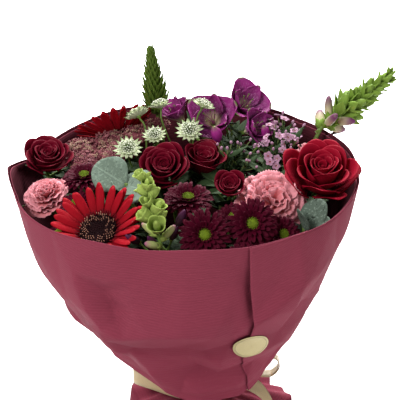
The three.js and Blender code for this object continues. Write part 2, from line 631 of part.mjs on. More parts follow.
// Waxflower: wiry twigs with needles and small cupped florets.
function addWaxflower(name, fork, place, florets, seed) {
  const draw = draws(seed);
  const forkAt = vec(...fork);
  const star = starlet(5, [7.6, 2], [4.2, 1], 0.8, -2.8);
  const pieces = [stem(place, forkAt, vec(0.1, 0.1, 1).normalize(), { radius: 2.1 })];
  for (const [x, y, z] of florets) {
    const tip = vec(x, y, z);
    const way = tip.clone().sub(forkAt).normalize();
    pieces.push(rod([forkAt.clone().add(vec(0, 0, -2)), tip], 0.9, 3));
    pieces.push(put(star, along(tip.clone().addScaledVector(way, 1), way.clone().add(vec(0, -0.5, 0.2)))));
    const bearing = TAU * draw();
    const out = vec(Math.cos(bearing), Math.sin(bearing), 1.1).normalize();
    pieces.push(needle(forkAt.clone().lerp(tip, 0.5 + 0.3 * draw()), out, 16, 2.4));
  }
  add(name, pieces, WAX_PINK);
}
addWaxflower('waxflower_right', [76, 50, 346], [2, 1],
  [[79, 62, 404], [97, 74, 404], [86, 92, 410], [82, 36, 400], [66, 26, 398], [64, 46, 404],
      [94, 50, 408], [74, 80, 406]], 3);
addWaxflower('waxflower_mid', [16, 36, 340], [1, 0],
  [[22, 30, 404], [36, 44, 402], [44, 14, 398]], 7);

// Eucalyptus: broad rounded leaves at the end of a twig.
const ROUND = [[0.16, 0.68], [0.48, 1], [0.82, 0.72]];
function addEucalyptus(name, fork, place, leaves) {
  const forkAt = vec(...fork);
  const pieces = [stem(place, forkAt, vec(0, 0, 1), { radius: 2.2 })];
  for (const { way, length, width, lift = 0, spin = 0 } of leaves) {
    pieces.push(leaf({ at: forkAt.clone().add(vec(0, 0, -2 - lift)), direction: vec(...way), length,
        width, spin, bow: 0.05, wide: ROUND }));
  }
  add(name, pieces, EUCALYPTUS);
}
addEucalyptus('eucalyptus_left', [-88, -36, 398], [1, 4], [
  { way: [-0.85, 0.4, 0.42], length: 42, width: 38, spin: 200 },
  { way: [0.55, -0.7, 0.25], length: 42, width: 36, spin: 140 },
  { way: [0.35, 0.8, 0.25], length: 30, width: 26, lift: 14, spin: 0 }]);
addEucalyptus('eucalyptus_right', [101, -82, 368], [3, 15], [
  { way: [0.5, 0.25, 0.8], length: 38, width: 26, spin: 90 },
  { way: [-0.1, -0.3, 0.9], length: 32, width: 22, spin: 40 },
  { way: [0.8, -0.25, 0.5], length: 32, width: 22, spin: 120 }]);

// Fern-like greens: lance leaves in pairs up a stem, between the blooms.
function addGreens(name, place, line, leaves) {
  const pieces = [stem(place, vec(...line[0]), vec(0, 0, 1))];
  pieces.push(rod([vec(...line[0]).add(vec(0, 0, -3)), ...line.slice(1).map((at) => vec(...at))], 1.3, 3));
  for (const [share, bearing, length] of leaves) {
    const at = vec(...line[0]).lerp(vec(...line.at(-1)), share);
    const way = vec(Math.cos(rad(bearing)), Math.sin(rad(bearing)), 0.45);
    pieces.push(leaf({ at, direction: way, length, width: 0.34 * length }));
  }
  add(name, pieces, LEAF_GREEN);
}
addGreens('greens_right', [2, 0], [[66, 4, 340], [70, 2, 384]],
  [[0.2, 350, 46], [0.35, 200, 44], [0.5, 20, 40], [0.7, 150, 34]]);
addGreens('greens_front', [3, 13], [[-26, -98, 330], [-24, -96, 358]],
  [[0.1, 250, 42], [0.4, 300, 42], [0.8, 170, 34], [0.95, 285, 30]]);

// The paper above the tie. At each level the sheet is a circle of [height, radius, shift to the right,
// depth of its gathers], and both sheets follow the same folds.
const BOWL = [
  [127, TIE_PAPER_R, 0, 0.5],
  [137, TIE_PAPER_R, 0, 0.5],
  [147, 45, -3, 3],
  [190, 92, -13, 3],
  [238, 136, -30, 1],
  [300, 163, -26, 0],
  [RIM_Z, 183, -25, 0]];
const PAPER_COLUMNS = 28;
const GATHERS = PAPER_COLUMNS / 4;
function onBowl(angle, z, offset) {
  const k = clamp(BOWL.findIndex((row) => row[0] >= z), 1, BOWL.length - 1);
  const t = (z - BOWL[k - 1][0]) / (BOWL[k][0] - BOWL[k - 1][0]);
  const [radius, shift, depth] = [1, 2, 3].map((n) => mix(BOWL[k - 1][n], BOWL[k][n], t));
  const r = radius + depth * Math.cos(GATHERS * angle) + offset;
  return vec(shift + r * Math.cos(angle), r * Math.sin(angle), z);
}
const liningAt = (u, v) => {
  const place = clamp(v, 0, 1) * (BOWL.length - 1);
  const k = Math.min(BOWL.length - 2, Math.floor(place));
  return onBowl(TAU * u, mix(BOWL[k][0], BOWL[k + 1][0], place - k) - 3 * clamp(v, 0, 1), 0);
};
add('paper_lining', [solid(sheet({ at: liningAt, across: PAPER_COLUMNS, along: BOWL.length - 1,
    thick: PAPER, ring: true }))], PAPER_LINING);

// The outer sheet: a collar that laps over itself at the front right. Its lower edge runs through these
// bearings and levels: low in front, where it covers the tie, and high at the sides.
const COLLAR_EDGE = [[-92, 147], [-62, 152], [-45, 176], [-23, 226], [0, 284], [30, 280], [70, 244],
    [150, 238], [180, 236], [200, 205],
  [222, 170], [268, 147], [298, 152], [330, 205]];
const COLLAR_LEVELS = [147, 190, 238, 300, RIM_Z];
const LAP = { top: rad(-68), bottom: rad(-57), over: rad(22) };
function collarFloor(angle) {
  const degrees = (angle * 180) / Math.PI;
  const k = clamp(COLLAR_EDGE.findIndex((row) => row[0] >= degrees), 1, COLLAR_EDGE.length - 1);
  const [[a0, z0], [a1, z1]] = [COLLAR_EDGE[k - 1], COLLAR_EDGE[k]];
  return mix(z0, z1, (degrees - a0) / (a1 - a0));
}
const collarAt = (u, v) => {
  const level = clamp(v, 0, 1) * (COLLAR_LEVELS.length - 1);
  const k = Math.min(COLLAR_LEVELS.length - 2, Math.floor(level));
  const start = mix(LAP.bottom, LAP.top, level / (COLLAR_LEVELS.length - 1));
  const angle = mix(start, LAP.top + TAU + LAP.over, u);
  const lowest = (n) => Math.max(COLLAR_LEVELS[n], collarFloor(angle) + 3 * n);
  const z = mix(lowest(k), lowest(k + 1), level - k);
  return onBowl(angle, z, mix(7.4, 4.8, u) - 2.5 * clamp((z - 300) / 90, 0, 1));
};
add('paper_collar', [solid(sheet({ at: collarAt, across: PAPER_COLUMNS + 2,
    along: COLLAR_LEVELS.length - 1, thick: PAPER }))], PAPER_PLUM);

// The skirt: a sheet gathered at the tie that spreads out and falls to the ground, as [height, radius,
// depth of its folds, how far they swell upwards].
const SKIRT = [[124, TIE_PAPER_R, 0.5, 0], [113, TIE_PAPER_R, 0.5, 0], [108, 56, 2, 4], [96, 88, 5, 6],
    [0, 98, 5, 0]];
const skirtAt = (u, v) => {
  const place = clamp(v, 0, 1) * (SKIRT.length - 1);
  const k = Math.min(SKIRT.length - 2, Math.floor(place));
  const [z, radius, depth, swell] = [0, 1, 2, 3].map((n) => mix(SKIRT[k][n], SKIRT[k + 1][n], place - k));
  const fold = Math.cos(GATHERS * TAU * u);
  const r = radius + depth * fold;
  return vec(r * Math.cos(TAU * u), r * Math.sin(TAU * u), z + swell * fold);
};
const skirt = solid(sheet({ at: skirtAt, across: PAPER_COLUMNS, along: SKIRT.length - 1, thick: PAPER,
    ring: true }));
add('paper_skirt', [skirt.trimByPlane([0, 0, 1], 0.05)], PAPER_PLUM);

// The binding: a turn of twine round the stems, under the paper.
const BUNDLE_R = 3 * STEM_PITCH + STEM_R;
add('binding_twine', [solid(turned([[BUNDLE_R + 0.3, TIE_Z - 4], [BUNDLE_R + 3.1, TIE_Z - 3],
    [BUNDLE_R + 3.1, TIE_Z + 3],
  [BUNDLE_R + 0.3, TIE_Z + 4], [BUNDLE_R + 0.3, TIE_Z - 4]], 18))], TWINE);

// The ribbon: a band over the gathered paper, with a bow of two loops and two tails.
const BAND_R = TIE_PAPER_R + 2.2;
const bandAt = (u, v) => vec(
    BAND_R * Math.cos(TAU * u), BAND_R * Math.sin(TAU * u), TIE_Z + RIBBON_WIDE * (v - 0.5));
const KNOT = vec(4, -BAND_R - 3.5, TIE_Z);
function ribbonStrip(line, wide, steps, tilt = 0) {
  const curve = new THREE.CatmullRomCurve3(line, false, 'centripetal');
  const at = (u, v) => curve.getPoint(clamp(v, 0, 1))
      .add(vec(0, Math.sin(tilt), Math.cos(tilt)).multiplyScalar(wide * (u - 0.5)));
  return solid(sheet({ at, across: 1, along: steps, thick: 0.9 }));
}
const onKnot = (...places) => places.map(([x, y, z]) => KNOT.clone().add(vec(x, y, z)));
const loopOf = (way) => ribbonStrip(onKnot([0, 0, 0], [way * 34, -3, 9], [way * 64, 8, 20],
    [way * 79, 18, 23],
  [way * 70, 18, 18], [way * 46, 2, 3], [way * 2, 1, 0]), RIBBON_WIDE - 2, 8);
const tailOf = (way) => ribbonStrip(onKnot([0, -1, 0], [way * 22, -30, 4], [way * 42, -58, -3],
    [way * 56, -82, -36],
  [way * 62, -88, -84]), RIBBON_WIDE - 4, 5, 0.5);
add('ribbon', [
  solid(sheet({ at: bandAt, across: 18, along: 1, thick: 0.8, ring: true })),
  put(new THREE.BoxGeometry(13, 8, 19), new THREE.Matrix4().makeTranslation(...KNOT.toArray())),
  loopOf(-1), loopOf(1), tailOf(1), tailOf(-0.7)], SATIN_GOLD);

// The seal: an oval of foil over the collar's lap.
const SEAL = { angle: rad(-59), z: 248, wide: 44, high: 34 };
const sealAt = (u, v) => {
  const spread = Math.max(0.25, Math.sqrt(Math.max(0, 1 - (2 * v - 1) ** 2)));
  const angle = SEAL.angle + ((u - 0.5) * SEAL.wide * spread) / 150;
  return onBowl(angle, SEAL.z + SEAL.high * (v - 0.5), 8.6);
};
add('foil_seal', [solid(sheet({ at: sealAt, across: 3, along: 5, thick: 0.6 }))], GOLD_FOIL);

export default bouquet;
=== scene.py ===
"""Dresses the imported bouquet: fine petals, leaves and stems, ribbed paper, satin ribbon and foil."""
import functools
import random
from math import atan2, cos, degrees, exp, hypot, pi, radians, sin, sqrt

import bpy
import numpy as np
from bpy.props import FloatProperty, FloatVectorProperty, PointerProperty
from mathutils import Matrix, Vector, geometry, noise
from mathutils.bvhtree import BVHTree


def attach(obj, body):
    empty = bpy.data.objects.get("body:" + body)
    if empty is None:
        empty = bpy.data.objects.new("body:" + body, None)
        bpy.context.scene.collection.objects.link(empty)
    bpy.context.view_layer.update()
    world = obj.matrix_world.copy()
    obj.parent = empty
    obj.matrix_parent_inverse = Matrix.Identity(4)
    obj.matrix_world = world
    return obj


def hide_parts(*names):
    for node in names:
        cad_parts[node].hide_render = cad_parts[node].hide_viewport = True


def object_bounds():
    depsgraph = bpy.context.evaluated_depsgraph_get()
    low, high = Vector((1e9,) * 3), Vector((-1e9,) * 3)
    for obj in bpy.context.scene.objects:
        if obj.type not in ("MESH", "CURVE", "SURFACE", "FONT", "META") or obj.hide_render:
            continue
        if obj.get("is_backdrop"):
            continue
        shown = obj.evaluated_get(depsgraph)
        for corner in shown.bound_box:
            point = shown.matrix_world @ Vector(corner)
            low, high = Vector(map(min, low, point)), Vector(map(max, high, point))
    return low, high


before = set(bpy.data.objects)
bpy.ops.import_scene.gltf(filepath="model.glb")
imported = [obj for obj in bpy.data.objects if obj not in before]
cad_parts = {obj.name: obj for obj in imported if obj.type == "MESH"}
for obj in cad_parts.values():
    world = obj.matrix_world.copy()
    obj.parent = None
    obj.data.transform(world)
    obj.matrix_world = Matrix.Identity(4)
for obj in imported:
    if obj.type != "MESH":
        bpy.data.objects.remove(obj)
CAD_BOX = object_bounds()

bl_info = {
    "name": "Mixed flower bouquet",
    "version": (1, 0, 0),
    "blender": (4, 5, 0),
    "location": "View3D > Sidebar > Bouquet",
    "description": "Fine petals, leaves, ribbed paper and ribbon over the bouquet's packed solids",
    "category": "Add Mesh",
}

# Shapes are worked out in millimetres, like the solids, and turned to metres when a piece is made.
MM = 0.001
TAU = 2 * pi
UP = Vector((0, 0, 1))

# The turn from one floret of a spiral to the next, in radians, and from one leaf to the next, in degrees.
GOLDEN = pi * (3 - sqrt(5))
LEAF_TURN = 137.5

# Thicknesses of small parts, in millimetres.
SEPAL_THICK = 0.5
BRACT_THICK = 0.45
FLORET_THICK = 0.35


def measure(name, description, default, least):
    return FloatProperty(name=name, description=description, default=default, min=least, unit="LENGTH")


def colour(name, description, default):
    return FloatVectorProperty(name=name, description=description, subtype="COLOR", size=3,
                               min=0.0, max=1.0, default=default)


class BouquetSizes(bpy.types.PropertyGroup):
    """Sizes that give the pieces their fineness."""

    petal_thick: measure("Petal thickness", "Thickness of a petal at its middle", 0.0004, 0.0001)
    leaf_thick: measure("Leaf thickness", "Thickness of a leaf's blade", 0.0006, 0.0001)
    stem_radius: measure("Stem radius", "Radius of a cut stem", 0.0023, 0.0005)
    paper_thick: measure("Paper thickness", "Thickness of each sheet of paper", 0.0007, 0.0001)
    rib_pitch: measure("Rib pitch", "Distance from one rib of the paper to the next", 0.0032, 0.0005)
    ribbon_wide: measure("Ribbon width", "Width of the satin ribbon", 0.020, 0.004)
    camera_reach: measure("Camera distance", "Distance from the camera to the blooms", 2.5, 0.5)


class BouquetColours(bpy.types.PropertyGroup):
    """Main colours, as linear light."""

    gerbera: colour("Gerbera", "Ray petals of the gerberas", (0.37, 0.004, 0.013))
    rose_red: colour("Bright rose", "Rims of the bright rose's petals", (0.29, 0.003, 0.018))
    rose_dark: colour("Dark rose", "Rims of the dark roses' petals", (0.135, 0.001, 0.012))
    carnation: colour("Carnation", "Frilled petals of the carnations", (0.72, 0.29, 0.33))
    chrysanthemum: colour("Chrysanthemum", "Petals of the spray chrysanthemums", (0.07, 0.001, 0.012))
    eye: colour("Green eye", "Middle of the spray chrysanthemums", (0.22, 0.32, 0.020))
    lily: colour("Peruvian lily", "Tepals of the Peruvian lily", (0.3, 0.022, 0.19))
    stonecrop: colour("Stonecrop", "Florets of the stonecrop", (0.185, 0.045, 0.058))
    masterwort: colour("Masterwort", "Bracts of the masterwort", (0.64, 0.68, 0.46))
    waxflower: colour("Waxflower", "Florets of the waxflower", (0.46, 0.25, 0.36))
    snapdragon: colour("Snapdragon", "Green buds of the snapdragons", (0.19, 0.30, 0.045))
    eucalyptus: colour("Eucalyptus", "Rounded leaves of the eucalyptus", (0.16, 0.215, 0.165))
    foliage: colour("Foliage", "Leaves among the blooms", (0.022, 0.044, 0.013))
    stalk: colour("Stalk", "Stems of the flowers", (0.10, 0.165, 0.026))
    paper: colour("Paper", "Ribbed paper", (0.215, 0.034, 0.058))
    ribbon: colour("Ribbon", "Satin ribbon", (0.47, 0.35, 0.185))
    foil: colour("Foil", "Foil of the seal", (0.4, 0.335, 0.165))


def sizes():
    return bpy.context.scene.bouquet_sizes


def tint(name):
    """One of the main colours."""
    return tuple(getattr(bpy.context.scene.bouquet_colours, name))


# Shader maths.


class Level:
    """A socket that carries a number, so that shader maths reads as Python."""

    def __init__(self, finish, socket):
        self.finish = finish
        self.socket = socket

    def maths(self, operation, *others, flip=False):
        """A Math node on this number and the others, with this one last when flipped."""
        terms = [*others, self] if flip else [self, *others]
        node = self.finish.node("ShaderNodeMath", {"operation": operation}, dict(enumerate(terms)))
        return Level(self.finish, node.outputs[0])

    def __add__(self, other):
        return self.maths("ADD", other)

    def __sub__(self, other):
        return self.maths("SUBTRACT", other)

    def __rsub__(self, other):
        return self.maths("SUBTRACT", other, flip=True)

    def __mul__(self, other):
        return self.maths("MULTIPLY", other)

    __radd__ = __add__
    __rmul__ = __mul__

    def between(self, low, high):
        """0 below low, 1 above high, and smooth from one to the other."""
        node = self.finish.node("ShaderNodeMapRange", {"interpolation_type": "SMOOTHSTEP"},
                                {"Value": self, "From Min": low, "From Max": high})
        return Level(self.finish, node.outputs[0])

    def sine(self):
        return self.maths("SINE")

    def from_middle(self):
        """0 halfway across, and 1 at either side."""
        return (self - 0.5).maths("ABSOLUTE") * 2


def opaque(value):
    """A colour with its alpha, or any other value as it is."""
    return (*value, 1) if isinstance(value, tuple) else value


class Finish:
    """A material: its shader's constants by name, and the nodes that vary it over the surface."""

    def __init__(self, name, roughness=0.5, **constants):
        self.material = bpy.data.materials.new(name)
        self.material.use_nodes = True
        self.tree = self.material.node_tree
        self.shader = self.tree.nodes["Principled BSDF"]
        self.shader.inputs["Roughness"].default_value = roughness
        for socket, value in constants.items():
            self.shader.inputs[socket.replace("_", " ")].default_value = opaque(value)

    def node(self, kind, settings, sockets):
        made = self.tree.nodes.new(kind)
        for key, value in settings.items():
            setattr(made, key, value)
        for key, value in sockets.items():
            source = value.socket if isinstance(value, Level) else value
            if isinstance(source, bpy.types.NodeSocket):
                self.tree.links.new(source, made.inputs[key])
            else:
                made.inputs[key].default_value = opaque(source)
        return made

    def mark(self):
        """How far along its petal a point lies, how far across, and the petal's own tone, all from 0 to 1."""
        source = self.node("ShaderNodeAttribute", {"attribute_name": "mark"}, {})
        parts = self.node("ShaderNodeSeparateColor", {}, {0: source.outputs["Color"]})
        return [Level(self, parts.outputs[k]) for k in range(3)]

    def place(self):
        return self.node("ShaderNodeTexCoord", {}, {}).outputs["Object"]

    def height(self):
        """How high a point lies above the ground, in metres."""
        return Level(self, self.node("ShaderNodeSeparateXYZ", {}, {0: self.place()}).outputs[2])

    def noise(self, scale, detail=2.0, vector=None):
        made = self.node("ShaderNodeTexNoise", {}, {
            "Vector": vector or self.place(), "Scale": scale, "Detail": detail})
        return Level(self, made.outputs["Fac"])

    def grain(self, scale, detail, x, y):
        """Noise over two directions of the petal's own, for veins and dashes."""
        return self.noise(scale, detail, self.node("ShaderNodeCombineXYZ", {}, {"X": x, "Y": y}).outputs[0])

    def mix(self, first, second, share):
        """From the first colour to the second, by a share from 0 to 1."""
        return self.node("ShaderNodeMix", {"data_type": "RGBA"}, {0: share, 6: first, 7: second}).outputs[2]

    def set(self, socket, value):
        source = value.socket if isinstance(value, Level) else value
        self.tree.links.new(source, self.shader.inputs[socket])
        return self

    def bump(self, height, distance, strength):
        made = self.node("ShaderNodeBump", {}, {"Height": height, "Distance": distance, "Strength": strength})
        return self.set("Normal", made.outputs[0])


def shade(base, share):
    """A colour made darker, or brighter and a little paler where share is above 1."""
    if share <= 1:
        return tuple(c * share for c in base)
    return tuple(min(1.0, c * (1 + 4 * (share - 1)) + 0.15 * (share - 1)) for c in base)


# Meshes.


def moved(points, place):
    matrix = np.array(place)
    return points @ matrix[:3, :3].T + matrix[:3, 3]


def turn(axis, angle):
    return Matrix.Rotation(radians(angle), 4, axis)


def shift(x, y, z):
    return Matrix.Translation((x, y, z))


def frame_of(at, lean, toward, spin=0):
    """Where a bloom sits and which way it faces: so many degrees from upright, towards a bearing from +X."""
    return shift(*at) @ turn("Z", toward) @ turn("Y", lean) @ turn("Z", spin - toward)


def facing(spot):
    """The direction that a bloom faces."""
    return frame_of(*spot).to_3x3() @ UP


def below(spot, depth):
    """A point behind a bloom, on the line that it faces along."""
    return Vector(spot[0]) - facing(spot) * depth


def raised(point, height):
    return Vector(point) + Vector((0, 0, height))


def around(bearing, rise=0.0):
    """A direction on a bearing in radians, with so much rise to a run of 1."""
    return Vector((cos(bearing), sin(bearing), rise))


def spiral(count):
    """Places spread evenly over a disc: the share of its radius, and the bearing in radians."""
    for k in range(count):
        yield sqrt((k + 0.5) / count), k * GOLDEN


def seeded(plan, first):
    """The rows of a plan, each with its own random numbers, so that no piece moves another's."""
    for seed, (name, row) in enumerate(plan.items(), first):
        yield name, random.Random(seed), row


def aimed(at, direction):
    """The place and turn that take Z to a direction."""
    return shift(*at) @ UP.rotation_difference(Vector(direction)).to_matrix().to_4x4()


class Skin:
    """A mesh in the making. Each point has a mark: how far along, how far across, and its petal's tone."""

    def __init__(self):
        self.points, self.marks, self.faces, self.finishes = [], [], [], []
        self.count = 0

    def add(self, points, faces, marks, finish, place):
        points = np.asarray(points, float)
        self.points.append(points if place is None else moved(points, place))
        self.marks.append(marks)
        self.faces.extend([[k + self.count for k in face] for face in faces])
        self.finishes.extend(finish if isinstance(finish, list) else [finish] * len(faces))
        self.count += len(points)

    def blade(self, grid, thick, tone=0.5, finish=0, place=None, marks=None, ring=False):
        """A thin closed body over a grid of points: rows from root to tip, columns from side to side. The
        last column of a ring meets its first. A pair of finishes gives the two faces one each."""
        rows, columns = grid.shape[:2]
        wide = np.concatenate([grid[:, -1:], grid, grid[:, :1]], axis=1) if ring else grid
        normal = np.cross(np.gradient(wide, axis=0), np.gradient(wide, axis=1))
        normal = normal[:, 1:-1] if ring else normal
        size = np.linalg.norm(normal, axis=-1, keepdims=True)
        normal = normal / np.maximum(size, 1e-9)
        layers = [grid + normal * side * thick / 2 for side in (1, -1)]
        points = np.concatenate([layer.reshape(-1, 3) for layer in layers])
        along, across = np.meshgrid(np.linspace(0, 1, rows), np.linspace(0, 1, columns), indexing="ij")
        single = np.stack([along, across, np.full_like(along, tone)], -1) if marks is None else marks
        flat = single.reshape(-1, 3)
        top = lambda i, j: i * columns + j % columns
        under = lambda i, j: top(i, j) + rows * columns
        faces = []
        for i in range(rows - 1):
            for j in range(columns if ring else columns - 1):
                faces.append([top(i, j), top(i + 1, j), top(i + 1, j + 1), top(i, j + 1)])
                faces.append([under(i, j), under(i, j + 1), under(i + 1, j + 1), under(i + 1, j)])
        rims = [[(i, 0) for i in range(rows)] + [(rows - 1, j) for j in range(1, columns)]
                + [(i, columns - 1) for i in range(rows - 2, -1, -1)]
                + [(0, j) for j in range(columns - 2, 0, -1)]]
        if ring:
            rims = [[(0, j) for j in range(columns)][::-1], [(rows - 1, j) for j in range(columns)]]
        for rim in rims:
            for here, after in zip(rim, rim[1:] + rim[:1]):
                faces.append([top(*here), under(*here), under(*after), top(*after)])
        if isinstance(finish, tuple):
            both = 2 * (rows - 1) * (columns if ring else columns - 1)
            finish = [finish[k % 2] if k < both else finish[0] for k in range(len(faces))]
        self.add(points, faces, np.concatenate([flat, flat]), finish, place)

    def whorl(self, grid, count, place, out, thick=SEPAL_THICK, tone=0.5, finish=0):
        """The same blade so many times round Z, its root moved out from the middle."""
        for k in range(count):
            self.blade(grid, thick, tone, finish, place @ turn("Z", 360 * k / count) @ shift(*out))

    def tube(self, line, radii, sides=8, tone=0.5, finish=0, place=None):
        """A closed round rod along a line of points, with a radius at each."""
        line = np.asarray(line, float)
        radii = np.broadcast_to(np.asarray(radii, float), (len(line),))
        ways = np.gradient(line, axis=0)
        ways /= np.maximum(np.linalg.norm(ways, axis=1, keepdims=True), 1e-9)
        across = np.cross(ways[0], [0.31, 0.87, 0.39])
        angles = circle(sides)
        rings = []
        for spot, way, radius in zip(line, ways, radii):
            across = across - way * np.dot(across, way)
            across /= np.linalg.norm(across)
            other = np.cross(way, across)
            rings.append(spot + radius * (np.outer(np.cos(angles), across) + np.outer(np.sin(angles), other)))
        count = len(line)
        faces = [[i * sides + k, i * sides + (k + 1) % sides, (i + 1) * sides + (k + 1) % sides,
                  (i + 1) * sides + k] for i in range(count - 1) for k in range(sides)]
        faces.append(list(range(sides))[::-1])
        faces.append([(count - 1) * sides + k for k in range(sides)])
        shares = np.repeat(np.linspace(0, 1, count), sides)
        marks = np.stack([shares, np.tile(np.linspace(0, 1, sides), count), np.full(count * sides, tone)], -1)
        self.add(np.concatenate(rings), faces, marks, finish, place)

    def round(self, profile, sides=8, tone=0.5, finish=0, place=None, ripple=0.0, lobes=5):
        """A round body about Z from [radius, height] pairs, from a tip below to a tip above."""
        angles = circle(sides)
        swell = 1 + ripple * np.cos(lobes * angles)
        rings = [np.stack([r * swell * np.cos(angles), r * swell * np.sin(angles), np.full(sides, float(z))],
                          -1) for r, z in profile[1:-1]]
        count = len(rings)
        points = np.concatenate([[[0, 0, profile[0][1]]], *rings, [[0, 0, profile[-1][1]]]])
        last = len(points) - 1
        faces = [[1 + i * sides + k, 1 + i * sides + (k + 1) % sides, 1 + (i + 1) * sides + (k + 1) % sides,
                  1 + (i + 1) * sides + k] for i in range(count - 1) for k in range(sides)]
        faces += [[0, 1 + (k + 1) % sides, 1 + k] for k in range(sides)]
        faces += [[last, last - sides + k, last - sides + (k + 1) % sides] for k in range(sides)]
        shares = np.concatenate([[0], np.repeat(np.linspace(0, 1, count + 2)[1:-1], sides), [1]])
        marks = np.stack([shares, np.full(len(points), 0.25), np.full(len(points), tone)], -1)
        self.add(points, faces, marks, finish, place)

    def piece(self, name, finishes, slot, node):
        """The finished object, riding on the bouquet in place of the solid it replaces."""
        mesh = bpy.data.meshes.new(name)
        points = np.concatenate(self.points)
        if slot not in WRAPPING:
            points = tucked(points)
        mesh.from_pydata((points * MM).tolist(), [], self.faces)
        mark = mesh.attributes.new("mark", "FLOAT_COLOR", "POINT")
        values = np.concatenate(self.marks)
        mark.data.foreach_set("color", np.column_stack([values, np.ones(len(values))]).ravel())
        for finish in finishes:
            mesh.materials.append(finish.material)
        mesh.polygons.foreach_set("material_index", self.finishes)
        mesh.polygons.foreach_set("use_smooth", [True] * len(self.faces))
        mesh.update()
        made = bpy.data.objects.new(name, mesh)
        bpy.context.collection.objects.link(made)
        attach(made, "root")
        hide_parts(node)
        return made


def petal(length, width, outline, rise=0, bend=0, curl=0, cup=0, tip=0.3, frill=0, waves=4, phase=0,
          channel=0, rows=8, columns=4, edged=2):
    """A petal as a grid of points, from its root at the origin out along X. It leaves at the angle rise, and
    turns up by bend over its length and by curl near its tip. outline gives shares of the width along it,
    tip how round its end is, cup and channel how its sides and middle stand, and frill the waves of its
    edge."""
    share = np.linspace(0, 1, rows + 1)[:, None]
    side = np.linspace(-1, 1, columns + 1)[None, :]
    fine = np.linspace(0, 1, 33)
    angle = np.radians(rise + bend * fine + curl * np.clip((fine - 0.5) / 0.5, 0, 1) ** 2)
    step = length / (len(fine) - 1)
    x = np.concatenate([[0], np.cumsum(np.cos(angle[:-1]))]) * step
    z = np.concatenate([[0], np.cumsum(np.sin(angle[:-1]))]) * step
    here = share * (1 - tip * np.abs(side) ** 2.2 * share)
    half = 0.5 * width * np.interp(share, np.linspace(0, 1, len(outline)), outline)
    way = np.interp(here, fine, angle)
    lift = cup * half * side ** 2 + channel * half * np.cos(np.pi * side) * np.sin(np.pi * share)
    lift = lift + frill * share ** edged * np.abs(side) ** 0.5 * np.sin(waves * np.pi * side + phase)
    return np.stack([np.interp(here, fine, x) - np.sin(way) * lift, half * side + 0 * here,
                     np.interp(here, fine, z) + np.cos(way) * lift], -1)


def grid_of(rows, columns, point):
    """A grid of points, each from the value of its row and the value of its column."""
    return np.array([[point(v, u) for u in columns] for v in rows])


def circle(count):
    return np.linspace(0, TAU, count, endpoint=False)


def smooth_line(points, steps=5):
    """A curve through the points, as a finer list of points."""
    points = [Vector(p) for p in points]
    ends = [2 * points[0] - points[1], *points, 2 * points[-1] - points[-2]]
    line = []
    for before, a, b, after in zip(ends, ends[1:], ends[2:], ends[3:]):
        for k in range(steps):
            t = k / steps
            line.append(0.5 * (2 * a + (b - before) * t + (2 * before - 5 * a + 4 * b - after) * t * t
                               + (3 * a - before - 3 * b + after) * t ** 3))
    return [*line, points[-1]]


# The bundle of stems, as on the solids: the tie's height and half its depth, the distance from stem to stem,
# how far the cut ends spread and twist, how far below a head its stem bends, and how many sides a stem has.
TIE_Z = 125
BIND_HALF = 12
STEM_PITCH = 5.2
FOOT_SPREAD = 3.3
FOOT_TWIST = 50
SHOULDER = 26
STEM_SIDES = 9


def slot_place(ring, place):
    """Where a stem passes the tie, in a six-sided packing."""
    if ring == 0:
        return Vector((0, 0))
    corner = lambda k: around(radians(60 * k)).to_2d() * ring * STEM_PITCH
    side, share = divmod(place, ring)
    return corner(side).lerp(corner(side + 1), share / ring)


def stem_line(ring, place, head, direction):
    """A stem's middle line, from its cut end through the tie to the point that it carries."""
    x, y = slot_place(ring, place)
    head, direction = Vector(head), Vector(direction).normalized()
    low, high = TIE_Z - BIND_HALF, TIE_Z + BIND_HALF + 6 * (3 - ring)
    feet = []
    for share in (1, 0.5):
        grown = 1 + (FOOT_SPREAD - 1) * share
        spin = radians(FOOT_TWIST * share)
        feet.append((grown * (x * cos(spin) - y * sin(spin)),
                     grown * (x * sin(spin) + y * cos(spin)), low * (1 - share)))
    shoulder = head - direction * SHOULDER
    shoulder.x, shoulder.y = shoulder.x * 0.94, shoulder.y * 0.94
    tied = Vector((x, y, high))
    middle = raised(tied.lerp(shoulder, 0.4), 18 - 5 * ring)
    return smooth_line([*feet, (x, y, low), tied, middle, shoulder, head], 4)


def grow_stem(skin, slot, head, direction, radius=None):
    """A stem with a cut end on the ground, a little thicker at its joints. Gives its middle line."""
    line = stem_line(*slot, head, direction)
    radius = radius or sizes().stem_radius / MM
    radii = [radius * (1 + 0.05 * sin(1.9 * k)) for k in range(len(line))]
    skin.tube(line, radii, STEM_SIDES)
    skin.points[-1][:STEM_SIDES, 2] = 0
    return line


def leafy(skin, line, low, high, count, size, draw, narrow=0.36):
    """Leaves up a stem between two heights, as the florist leaves them under a bloom."""
    heights = [p[2] for p in line]
    for k in range(count):
        z = low + (high - low) * (k + draw.random()) / count
        at = min(line, key=lambda p: abs(p[2] - z))
        if not min(heights) < z < max(heights) + 6:
            continue
        way = around(draw.uniform(0, TAU), draw.uniform(0.25, 1.1))
        length = size * draw.uniform(0.75, 1.1)
        grid = petal(length, narrow * length, (0.08, 0.55, 0.9, 1, 0.86, 0.5, 0.05),
                     bend=draw.uniform(-34, 6), cup=0.3, tip=0.02, frill=0.02 * length, waves=5)
        set_leaf(skin, grid, at, way, draw, draw.uniform(-30, 30))


def lance(length, width, bow=14):
    """A narrow pointed leaf."""
    return petal(length, width, (0.05, 0.5, 0.85, 1, 0.97, 0.8, 0.5, 0.06), bend=-bow, curl=-10, cup=0.35,
                 tip=0.02, rows=9)


def rounded(length, width, bow=10):
    """A broad leaf with a round end."""
    return petal(length, width, (0.08, 0.62, 0.9, 1, 0.98, 0.85, 0.66), bend=-bow, cup=0.12, tip=0.16, rows=9,
                 columns=6)


